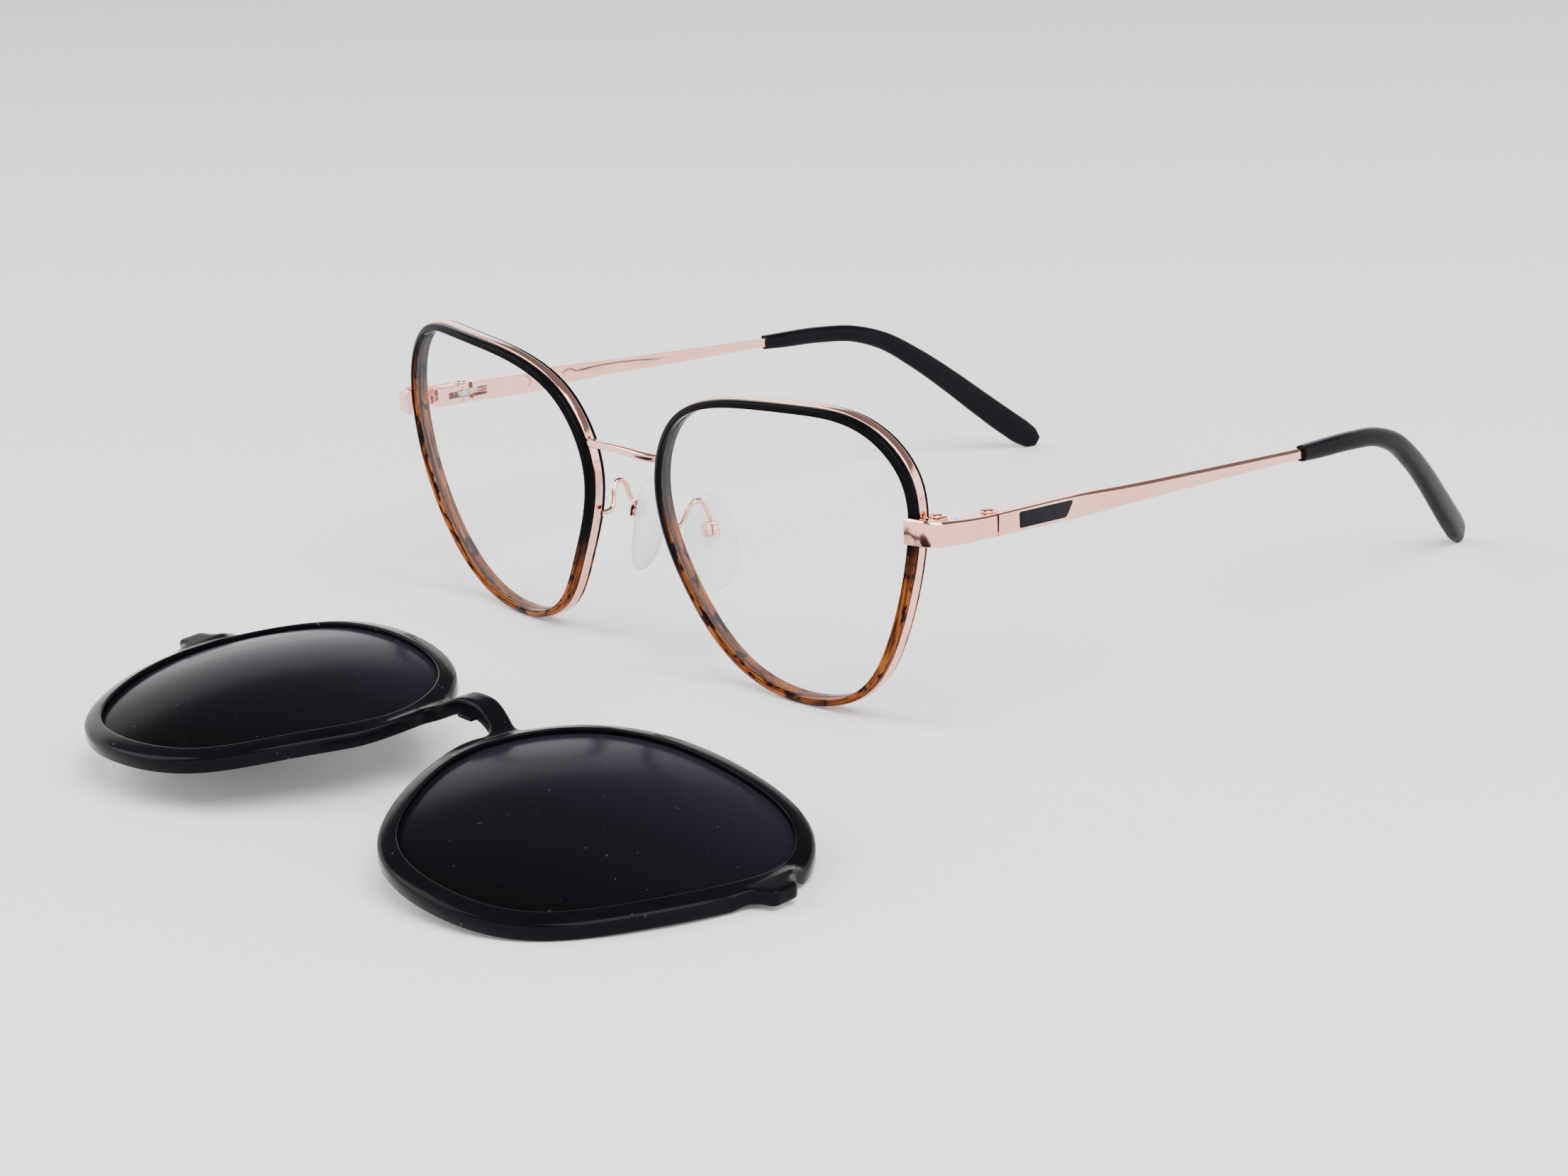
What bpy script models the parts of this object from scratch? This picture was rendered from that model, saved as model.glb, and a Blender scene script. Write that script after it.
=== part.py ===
"""Metal spectacles with plastic rim inserts, and the magnetic clip-on sun front that goes with them.

Lengths in this script are millimetres; MM turns them into Blender's metres where a mesh is made.
+X is the wearer's left, +Y runs back along the temples, +Z is up, and the set stands on z = 0.
The rims and the clip-on are worked out in the front's own frame: x sideways, y back, z up the face.
"""
from math import cos, pi, radians, sin

import bmesh
import bpy
import numpy as np
from mathutils import Matrix, Vector

MM = 0.001

# --- Driving dimensions -------------------------------------------------------------------------
RIM_X = 36.1              # rim centre from the middle plane
RIM_HEIGHT = 27.0         # rim centre over the table
FRONT_TILT = 3.6          # degrees, the top of the front leans forward
FRONT_WRAP = 4.9          # degrees, each rim turns back at its outer side
BASE_RADIUS = 80.0        # dome that both lenses and rims follow
RIM_STEPS = 48            # points along a rim
RIM_POINTS = [            # inner edge of a rim, x away from the nose, z up
    (24.8, 0.0), (24.6, 10.0), (18.3, 16.5), (6.7, 18.3), (-3.2, 17.9), (-13.6, 16.2), (-21.2, 12.3),
    (-26.4, 2.3), (-21.7, -12.6), (-13.2, -22.8), (0.0, -26.1), (12.8, -22.3), (20.7, -11.9)]

# Sections of the swept rings: (distance outside the rim's inner edge, depth behind the front face)
INSERT_SECTION = [
    (0.0, 0.15), (0.15, 0.0), (1.15, 0.0), (1.15, 0.95), (0.8, 0.95), (0.8, 2.35), (1.15, 2.35),
    (1.15, 3.0), (0.0, 3.0), (0.0, 1.8), (0.35, 1.5), (0.0, 1.2)]
EYEWIRE_SECTION = [(0.88, 1.03), (1.32, 1.03), (1.32, 2.27), (0.88, 2.27)]
LENS_EDGE = [(-0.1, 0.9), (-0.1, 1.22), (0.22, 1.5), (-0.1, 1.78), (-0.1, 2.1)]
CLIP_SECTION = [
    (0.0, 0.25), (0.25, 0.0), (2.3, 0.0), (2.6, 0.3), (2.6, 2.2), (0.0, 2.2), (0.0, 1.75),
    (0.6, 1.75), (0.6, 0.85), (0.0, 0.85)]
CLIP_LENS_EDGE = [(0.5, 0.93), (0.5, 1.67)]
LENS_RINGS = (0.5,)      # rings across a lens, as shares of its outline

# Hinges: the screw's axis, the height band of its three knuckles and the temple's slope
HINGE_X, HINGE_Y, HINGE_Z = 64.5, 17.9, 30.2
KNUCKLE_RADIUS = 1.45
SCREW_RADIUS, SCREW_BORE = 0.6, 0.66
EAR_INNER, EAR_OUTER = 0.55, 1.6       # half heights of the end piece's two ears
SLIDER_HALF = 0.45                     # half height of the knuckle between them
JOINT_GAP = 0.15                       # half the gap where temple and end piece meet
OUTER_FACE = 2.2                       # outer faces of temple and end piece beyond the axis
ROD_X = 0.45                           # spring rod beyond the axis
ROD_RADIUS, ROD_BORE = 0.38, 0.46
COLLAR_START, COLLAR_END = 4.4, 5.4    # the wall that the spring pushes on, behind the axis
SPRING_BORE, BORE_END = 0.85, 13.0
ROD_HEAD_START, ROD_HEAD_END = 11.4, 12.2
PIN_AT = 12.6                          # plug in the temple's inner face, behind the rod's head
TEMPLE_DIRECTION = Vector((-0.034, 1.0, -0.0447)).normalized()

# Clip-on: how it sits on the front when docked, and how it lies on the table beside it
CLIP_DOCK_PLACE = (0.0, -3.9, 0.0)     # in the front's frame, its rims before the rims of the front
CLIP_PLACE = (31.6, -55.5, 12.85)
CLIP_LEAN, CLIP_DIP, CLIP_YAW = -86.2, 3.2, 2.7
BRIDGE_MAGNET = Vector((0.0, 1.35, 8.3))

# The middle of everything's footprint, which is the origin
FOOTPRINT_CENTRE = (15.3, 25.66)


# --- Scene, collections and materials -------------------------------------------------------------
for old in list(bpy.data.objects):
    bpy.data.objects.remove(old, do_unlink=True)

parts = bpy.data.collections.new("clip_on_spectacles")
cutters = bpy.data.collections.new("cutters")
for collection in (parts, cutters):
    bpy.context.scene.collection.children.link(collection)


def material(name, colour, roughness, metallic=0.0, alpha=1.0):
    made = bpy.data.materials.new(name)
    made.use_nodes = True
    made.diffuse_color = (*colour, alpha)
    shader = made.node_tree.nodes["Principled BSDF"]
    shader.inputs["Base Color"].default_value = (*colour, 1.0)
    shader.inputs["Roughness"].default_value = roughness
    shader.inputs["Metallic"].default_value = metallic
    shader.inputs["Alpha"].default_value = alpha
    return made


ROSE_GOLD = material("rose_gold", (0.80, 0.55, 0.46), 0.18, 1.0)
BLACK_GLOSS = material("black_gloss", (0.01, 0.01, 0.012), 0.15)
TORTOISE = material("tortoise", (0.16, 0.06, 0.03), 0.2)
BLACK_SATIN = material("black_satin", (0.012, 0.012, 0.015), 0.4)
CLEAR_LENS = material("clear_lens", (0.95, 0.97, 0.98), 0.03, alpha=0.15)
SUN_LENS = material("sun_lens", (0.02, 0.02, 0.025), 0.05)
SILICONE = material("silicone", (0.9, 0.9, 0.92), 0.25, alpha=0.5)
STEEL = material("steel", (0.6, 0.6, 0.62), 0.3, 1.0)
MAGNET = material("magnet", (0.55, 0.55, 0.57), 0.25, 1.0)


def empty(name, parent=None, location=(0, 0, 0), rotation=(0, 0, 0)):
    made = bpy.data.objects.new(name, None)
    made.location = Vector(location) * MM
    made.rotation_euler = rotation
    made.parent = parent
    parts.objects.link(made)
    return made


centre = empty("footprint_centre", location=(-FOOTPRINT_CENTRE[0], -FOOTPRINT_CENTRE[1], 0))
front = empty("front_frame", centre, (0, 0, RIM_HEIGHT), (radians(FRONT_TILT), 0, 0))
clip = empty("clip_frame", centre, CLIP_PLACE, [radians(a) for a in (CLIP_LEAN, CLIP_DIP, CLIP_YAW)])
docked = empty("clip_docked", front, CLIP_DOCK_PLACE)


# --- Making solids --------------------------------------------------------------------------------
def finish(name, mesh_data, surface, parent, cutter=False, smooth=True):
    """Turn a bmesh in millimetres into an object, closed and facing out."""
    bmesh.ops.recalc_face_normals(mesh_data, faces=mesh_data.faces)
    bmesh.ops.scale(mesh_data, vec=(MM, MM, MM), verts=mesh_data.verts)
    mesh = bpy.data.meshes.new(name)
    mesh_data.to_mesh(mesh)
    mesh_data.free()
    if smooth:
        mesh.shade_smooth()
        mesh.set_sharp_from_angle(angle=radians(30))
    made = bpy.data.objects.new(name, mesh)
    made.parent = parent
    if cutter:
        made.hide_render = True
        made.display_type = "WIRE"
        cutters.objects.link(made)
    else:
        mesh.materials.append(surface)
        parts.objects.link(made)
    return made


def loft(name, rings, surface, parent, cutter=False, round_trip=False):
    """Skin a row of closed rings; the row's ends are capped, or joined when it goes round."""
    data = bmesh.new()
    rows = [[data.verts.new(point) for point in ring] for ring in rings]
    count = len(rows[0])
    pairs = list(zip(rows, rows[1:] + rows[:1])) if round_trip else list(zip(rows, rows[1:]))
    for row, following in pairs:
        for i in range(count):
            j = (i + 1) % count
            data.faces.new((row[i], row[j], following[j], following[i]))
    if not round_trip:
        data.faces.new(rows[0])
        data.faces.new(rows[-1])
    return finish(name, data, surface, parent, cutter)


def block(name, low, high, surface, parent, cutter=False, bevel=0.0, turn=None):
    """A box between two corners, with its edges rounded by bevel."""
    data = bmesh.new()
    size = Vector(high) - Vector(low)
    place = Matrix.Translation((Vector(high) + Vector(low)) / 2)
    bmesh.ops.create_cube(data, size=1.0, matrix=place @ Matrix.Diagonal((*size, 1.0)))
    if bevel:
        bmesh.ops.bevel(data, geom=data.edges[:], offset=bevel, segments=2, affect="EDGES", profile=0.5)
    if turn:
        bmesh.ops.transform(data, matrix=turn, verts=data.verts)
    return finish(name, data, surface, parent, cutter)


def rod(name, start, end, radius, surface, parent, cutter=False, sides=16):
    """A round bar between two points."""
    data = bmesh.new()
    start, end = Vector(start), Vector(end)
    turn = (end - start).to_track_quat("Z", "Y").to_matrix().to_4x4()
    place = Matrix.Translation((start + end) / 2) @ turn
    bmesh.ops.create_cone(data, cap_ends=True, segments=sides, radius1=radius, radius2=radius,
                          depth=(end - start).length, matrix=place)
    return finish(name, data, surface, parent, cutter)


def tube(name, points, radius, surface, parent, smoothness=1):
    """A wire along a poly curve, as a mesh with its caps welded on."""
    curve = bpy.data.curves.new(name, "CURVE")
    curve.dimensions = "3D"
    curve.bevel_depth = radius * MM
    curve.bevel_resolution = smoothness
    curve.use_fill_caps = True
    spline = curve.splines.new("POLY")
    spline.points.add(len(points) - 1)
    for spot, point in zip(spline.points, points):
        spot.co = (*(Vector(point) * MM), 1.0)
    guide = bpy.data.objects.new(name + "_curve", curve)
    cutters.objects.link(guide)
    bpy.context.view_layer.update()
    mesh = bpy.data.meshes.new_from_object(guide.evaluated_get(bpy.context.evaluated_depsgraph_get()))
    data = bmesh.new()
    data.from_mesh(mesh)
    bmesh.ops.remove_doubles(data, verts=data.verts, dist=0.00001)
    bmesh.ops.scale(data, vec=(1 / MM, 1 / MM, 1 / MM), verts=data.verts)
    bpy.data.objects.remove(guide, do_unlink=True)
    return finish(name, data, surface, parent)


def boolean(target, tool, operation):
    change = target.modifiers.new(operation.lower() + "_" + tool.name, "BOOLEAN")
    change.operation = operation
    change.object = tool
    change.solver = "EXACT"


# --- Curves that follow a rule ----------------------------------------------------------------------
def closed_spline(points, count):
    """Evenly spaced points on the smooth closed cubic through a ring of points."""
    knots = np.array(points, float)
    n = len(knots)
    spans = np.linalg.norm(np.roll(knots, -1, 0) - knots, axis=1)
    system = np.zeros((n, n))
    bends = np.zeros((n, knots.shape[1]))
    for i in range(n):
        before, after = spans[i - 1], spans[i]
        nxt = (i + 1) % n
        system[i, i - 1], system[i, i], system[i, nxt] = before, 2 * (before + after), after
        bends[i] = 6 * ((knots[nxt] - knots[i]) / after - (knots[i] - knots[i - 1]) / before)
    bends = np.linalg.solve(system, bends)
    lengths = np.concatenate([[0], np.cumsum(spans)])
    found = []
    for t in np.arange(count) * lengths[-1] / count:
        i = min(int(np.searchsorted(lengths, t, side="right")) - 1, n - 1)
        nxt = (i + 1) % n
        a = (lengths[i + 1] - t) / spans[i]
        b = 1 - a
        curved = ((a ** 3 - a) * bends[i] + (b ** 3 - b) * bends[nxt]) * spans[i] ** 2 / 6
        found.append(a * knots[i] + b * knots[nxt] + curved)
    return np.array(found)


OUTLINE = closed_spline(RIM_POINTS, RIM_STEPS)


def outline_at(distance):
    """The rim outline moved outwards by a distance."""
    along = np.roll(OUTLINE, -1, 0) - np.roll(OUTLINE, 1, 0)
    along /= np.linalg.norm(along, axis=1)[:, None]
    outwards = np.stack([along[:, 1], -along[:, 0]], -1)
    return OUTLINE + outwards * distance


def on_rim(side, u, v, depth):
    """A point of one rim in the front's frame: u away from the nose, v up, depth behind its face."""
    back = (u * u + v * v) / (2 * BASE_RADIUS) + depth
    turn = radians(FRONT_WRAP)
    x = RIM_X + u * cos(turn) - back * sin(turn)
    return Vector((side * x, u * sin(turn) + back * cos(turn), v))


def ring(name, side, section, surface, parent):
    """Sweep a section round one rim's outline."""
    rows = [outline_at(distance) for distance, _ in section]
    rings = [[on_rim(side, *row[i], depth) for row, (_, depth) in zip(rows, section)]
             for i in range(RIM_STEPS)]
    return loft(name, rings, surface, parent, round_trip=True)


def lens(name, side, edge, surface, parent):
    """A domed plate whose edge has the given section."""
    front_depth, back_depth = edge[0][1], edge[-1][1]
    inner = outline_at(edge[0][0])
    rows = [(inner * share, front_depth) for share in LENS_RINGS]
    rows += [(outline_at(distance), depth) for distance, depth in edge]
    rows += [(inner * share, back_depth) for share in reversed(LENS_RINGS)]
    rings = [[on_rim(side, *point, depth) for point in row] for row, depth in rows]
    return loft(name, rings, surface, parent)


def sections(stations, corner, side, points=12):
    """Upright rounded sections along a bar.

    Each station is (x, y, z, height, thickness); corner 2 makes ellipses and larger makes boxes.
    """
    path = [Vector((side * s[0], s[1], s[2])) for s in stations]
    rings = []
    for i, (spot, station) in enumerate(zip(path, stations)):
        along = (path[min(i + 1, len(path) - 1)] - path[max(i - 1, 0)]).normalized()
        across = along.cross(Vector((0, 0, 1))).normalized()
        up = across.cross(along)
        half_height, half_thickness = station[3] / 2, station[4] / 2
        ring_points = []
        for k in range(points):
            angle = 2 * pi * (k + 0.5) / points
            c, s = cos(angle), sin(angle)
            reach_c = abs(c) ** (2 / corner) * (1 if c > 0 else -1)
            reach_s = abs(s) ** (2 / corner) * (1 if s > 0 else -1)
            ring_points.append(spot + across * reach_c * half_thickness + up * reach_s * half_height)
        rings.append(ring_points)
    return rings


# --- The front: rims, lenses, bridge and end pieces -----------------------------------------------
SIDES = {"left": 1, "right": -1}

END_STRAP = [   # middle of the strap from the rim's front, round the corner, to the hinge
    (61.2, 5.5, 31.1, 3.8, 0.8), (63.2, 5.9, 31.1, 3.8, 0.85), (64.9, 6.5, 31.05, 3.7, 1.0),
    (65.9, 7.6, 30.95, 3.6, 1.05), (66.2, 9.0, 30.85, 3.5, 1.05), (66.2, 11.5, 30.6, 3.35, 1.05),
    (66.15, 14.5, 30.35, 3.25, 1.05), (66.15, HINGE_Y - JOINT_GAP, HINGE_Z, 3.2, 1.1)]


FRAME_MAGNET = Vector((63.4, 6.9, 31.1))     # front of the disc behind the strap that holds the clip-on
RIM_LOCK = Vector((63.75, 9.1, 31.0))        # middle of the split block


def slotted_screw(name, foot, top, radius, head_radius, head_height, slot_width):
    """An upright screw with a flat slotted head on top of its shank."""
    foot, top = Vector(foot), Vector(top)
    rise = Vector((0, 0, head_height))
    screw = rod(name, foot, top, radius, ROSE_GOLD, centre)
    head = rod(name + "_head", top - rise * 0.1, top + rise, head_radius, None, centre, cutter=True, sides=20)
    reach = Vector((head_radius + 0.5, slot_width / 2, 0))
    slot = block(name + "_slot", top - reach + rise * 0.5, top + reach + rise * 2, None, centre, cutter=True)
    boolean(screw, head, "UNION")
    boolean(screw, slot, "DIFFERENCE")


def front_side(word, side):
    ring(word + "_rim_insert", side, INSERT_SECTION, TORTOISE, front)
    ring(word + "_eyewire", side, EYEWIRE_SECTION, ROSE_GOLD, front)
    lens(word + "_lens", side, LENS_EDGE, CLEAR_LENS, front)
    end_piece(word, side)
    rim_lock(word, side)
    spot = Vector((side * FRAME_MAGNET.x, FRAME_MAGNET.y, FRAME_MAGNET.z))
    rod(word + "_frame_magnet", spot, spot + Vector((0, 0.7, 0)), 0.9, MAGNET, centre, sides=24)


def end_piece(word, side):
    """The strap round the corner, with two hinge ears on its inner side, and the hinge screw."""
    def ear(y, z, inwards=0.0):
        return Vector((side * (HINGE_X - inwards), HINGE_Y + y, HINGE_Z + z))

    strap = loft(word + "_end_piece", sections(END_STRAP, 8, side), ROSE_GOLD, centre)
    leaf = block(word + "_hinge_leaf", ear(-5.3, -EAR_OUTER, 1.1), ear(-JOINT_GAP, EAR_OUTER, -1.75), None,
                 centre, cutter=True)
    barrel = rod(word + "_hinge_barrel", ear(0, -EAR_OUTER), ear(0, EAR_OUTER), KNUCKLE_RADIUS, None, centre,
                 cutter=True, sides=24)
    gap = block(word + "_hinge_gap", ear(-3.2, -EAR_INNER, 3), ear(3, EAR_INNER, -1.6), None, centre,
                cutter=True)
    bore = rod(word + "_hinge_bore", ear(0, -EAR_OUTER - 1), ear(0, EAR_OUTER + 1), SCREW_BORE, None, centre,
               cutter=True)
    for tool, operation in ((leaf, "UNION"), (barrel, "UNION"), (gap, "DIFFERENCE"), (bore, "DIFFERENCE")):
        boolean(strap, tool, operation)
    slotted_screw(word + "_hinge_screw", ear(0, 0.1 - EAR_OUTER), ear(0, EAR_OUTER + 0.1), SCREW_RADIUS,
                  1.05, 0.32, 0.28)


def rim_lock(word, side):
    """The split block that closes the eyewire round the rim, with the screw that pulls it shut."""
    def near(x, y, z):
        return Vector((side * RIM_LOCK.x + x, RIM_LOCK.y + y, RIM_LOCK.z + z))

    lock = block(word + "_rim_lock", near(-1.05, -1.35, -1.8), near(1.05, 1.35, 1.8), ROSE_GOLD, centre,
                 bevel=0.25)
    split = block(word + "_rim_lock_split", near(-2, -2, -0.12), near(2, 2, 0.12), None, centre, cutter=True)
    web = block(word + "_rim_lock_web", near(-0.9, 0.95, -0.3), near(0.9, 1.2, 0.3), None, centre,
                cutter=True)
    bore = rod(word + "_rim_lock_bore", near(0, 0, -3), near(0, 0, 3), 0.56, None, centre, cutter=True)
    boolean(lock, split, "DIFFERENCE")
    boolean(lock, web, "UNION")
    boolean(lock, bore, "DIFFERENCE")
    slotted_screw(word + "_rim_lock_screw", near(0, 0, -1.7), near(0, 0, 1.9), 0.5, 0.95, 0.3, 0.26)


BRIDGE_HALF_SPAN = 9.0
BRIDGE_END = Vector((0.0, 2.9, 6.05))        # depth and height of its ends in the front's frame
BRIDGE_ARCH = Vector((0.0, -1.1, 0.9))       # how far its middle stands forward and up
BRIDGE_SECTION = (1.05, 1.25)                # thickness and height
BRIDGE_CORNERS = [
    (0.55, 1), (1, 0.55), (1, -0.55), (0.55, -1), (-0.55, -1), (-1, -0.55), (-1, 0.55), (-0.55, 1)]


def bridge(steps=16):
    """A slim arched bar between the two eyewires."""
    points = []
    for k in range(steps + 1):
        share = 2 * k / steps - 1
        points.append(Vector((BRIDGE_HALF_SPAN * share, 0, 0)) + BRIDGE_END + BRIDGE_ARCH * (1 - share ** 2))
    rings = []
    for k, point in enumerate(points):
        run = points[min(k + 1, steps)] - points[max(k - 1, 0)]
        up = Vector((-run.z, 0, run.x)).normalized() * BRIDGE_SECTION[1] / 2
        back = Vector((0, BRIDGE_SECTION[0] / 2, 0))
        rings.append([point + back * c + up * s for c, s in BRIDGE_CORNERS])
    return loft("bridge", rings, ROSE_GOLD, front)


# --- Nose pads --------------------------------------------------------------------------------------
PAD_BOX = Vector((9.2, 11.9, 20.8))
PAD_ALONG = Vector((0.35, 0.94, 0.0)).normalized()       # across the pad, and its screw's direction
PAD_UP = Vector((-0.14, 0.05, 0.99)).normalized()


def nose_pad(word, side):
    along = Vector((side * PAD_ALONG.x, PAD_ALONG.y, 0))
    up = Vector((side * PAD_UP.x, PAD_UP.y, PAD_UP.z))
    up = (up - along * up.dot(along)).normalized()
    to_nose = Vector((-side * along.y, side * along.x, 0)).normalized()
    to_nose = (to_nose - up * to_nose.dot(up)).normalized()
    box_spot = Vector((side * PAD_BOX.x, PAD_BOX.y, PAD_BOX.z))
    turn = Matrix.Translation(box_spot) @ Matrix((along, to_nose, up)).transposed().to_4x4()

    def place(x, y, z):
        return turn @ Vector((x, y, z))

    housing = block(word + "_pad_box", (-1.15, -0.9, -1.2), (1.15, 0.85, 1.2), ROSE_GOLD, centre,
                    bevel=0.3, turn=turn)
    slot = block(word + "_pad_box_slot", (-0.62, -0.35, -2), (0.62, 2, 2), None, centre, cutter=True,
                 turn=turn)
    bore = rod(word + "_pad_box_bore", place(-2, 0.25, 0), place(2, 0.25, 0), 0.31, None, centre, cutter=True,
               sides=12)
    boolean(housing, slot, "DIFFERENCE")
    boolean(housing, bore, "DIFFERENCE")
    rod(word + "_pad_screw", place(-1.3, 0.25, 0), place(1.3, 0.25, 0), 0.26, ROSE_GOLD, centre, sides=12)

    data = bmesh.new()
    bmesh.ops.create_uvsphere(data, u_segments=16, v_segments=10, radius=1.0)
    shape = turn @ Matrix.Translation((0.3, 2.15, -2.2)) @ Matrix.Diagonal((4.3, 0.95, 7.4, 1.0))
    bmesh.ops.transform(data, matrix=shape, verts=data.verts)
    pad = finish(word + "_nose_pad", data, SILICONE, centre)
    boss = block(word + "_nose_pad_boss", (-0.5, -0.2, -0.55), (0.5, 1.9, 0.55), None, centre, cutter=True,
                 turn=turn)
    hole = rod(word + "_nose_pad_hole", place(-2, 0.25, 0), place(2, 0.25, 0), 0.31, None, centre,
               cutter=True, sides=12)
    boolean(pad, boss, "UNION")
    boolean(pad, hole, "DIFFERENCE")

    bends = [(8.15, 4.2, 21.9), (8.1, 5.2, 21.9), (8.3, 6.4, 22.2), (8.8, 7.2, 23.4), (9.3, 7.8, 24.9),
             (9.6, 8.7, 25.8), (9.7, 9.8, 25.7), (9.8, 10.6, 24.6), (9.9, 11.1, 23.2), (9.8, 11.5, 22.35)]
    tube(word + "_pad_arm", [(side * x, y, z) for x, y, z in bends], 0.42, ROSE_GOLD, centre)


# --- Temples ------------------------------------------------------------------------------------------
def along_temple(distance, outwards=0.0, up=0.0):
    """A point beside the left temple's own line, which starts at the hinge axis."""
    start = Vector((HINGE_X, HINGE_Y, HINGE_Z))
    return start + TEMPLE_DIRECTION * distance + Vector((outwards, 0, up))


def temple_station(distance, thickness, height):
    spot = along_temple(distance, OUTER_FACE - thickness / 2)
    return (*spot, height, thickness)


TEMPLE_BAR = [temple_station(*s) for s in (
    (JOINT_GAP, 3.3, 3.2), (6.0, 3.3, 3.3), (15.5, 3.2, 3.4), (19.0, 1.7, 3.3), (24.0, 1.25, 2.95),
    (42.0, 1.2, 2.2), (65.2, 1.15, 1.5))]
TIP_PATH = [    # middle of the plastic tip, which the thin end of the temple's metal runs inside
    (64.0, 83.0, 27.25, 2.5, 2.2), (63.75, 86.0, 27.1, 2.7, 2.3), (62.9, 95.0, 26.7, 2.9, 2.4),
    (61.8, 102.0, 25.8, 3.0, 2.4), (60.5, 108.0, 23.6, 3.3, 2.5), (58.8, 114.0, 19.6, 3.7, 2.5),
    (56.8, 120.0, 14.7, 4.1, 2.5), (54.6, 126.0, 9.3, 4.5, 2.5), (52.7, 131.0, 4.9, 4.7, 2.5),
    (51.6, 133.8, 2.6, 4.5, 2.3), (51.0, 135.3, 1.5, 3.6, 2.0), (50.6, 136.2, 0.9, 2.0, 1.3)]
CORE_END = 6    # the metal core stops at this station of the tip
CORE_HEIGHT, CORE_THICKNESS, CORE_ROOM = 1.15, 0.8, 0.12
INLAY = [       # plaque on the outer face: distance along the temple, height over its line
    (4.5, -1.15), (4.3, -0.9), (4.3, 0.85), (4.6, 1.2), (14.3, 1.2), (15.0, 1.05), (15.1, 0.6),
    (13.9, -0.9), (13.4, -1.15)]


def prism(name, outline, side, inner, outer, grow, surface, cutter=False):
    """A flat plate on the temple's outer face, between two depths, with its outline grown a little."""
    middle = Vector((sum(p[0] for p in outline), sum(p[1] for p in outline))) / len(outline)
    rings = []
    for depth in (inner, outer):
        ring_points = []
        for distance, up in outline:
            away = (Vector((distance, up)) - middle).normalized() * grow
            spot = along_temple(distance + away.x, depth, up + away.y)
            ring_points.append(Vector((side * spot.x, spot.y, spot.z)))
        rings.append(ring_points)
    return loft(name, rings, surface, centre, cutter)


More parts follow.
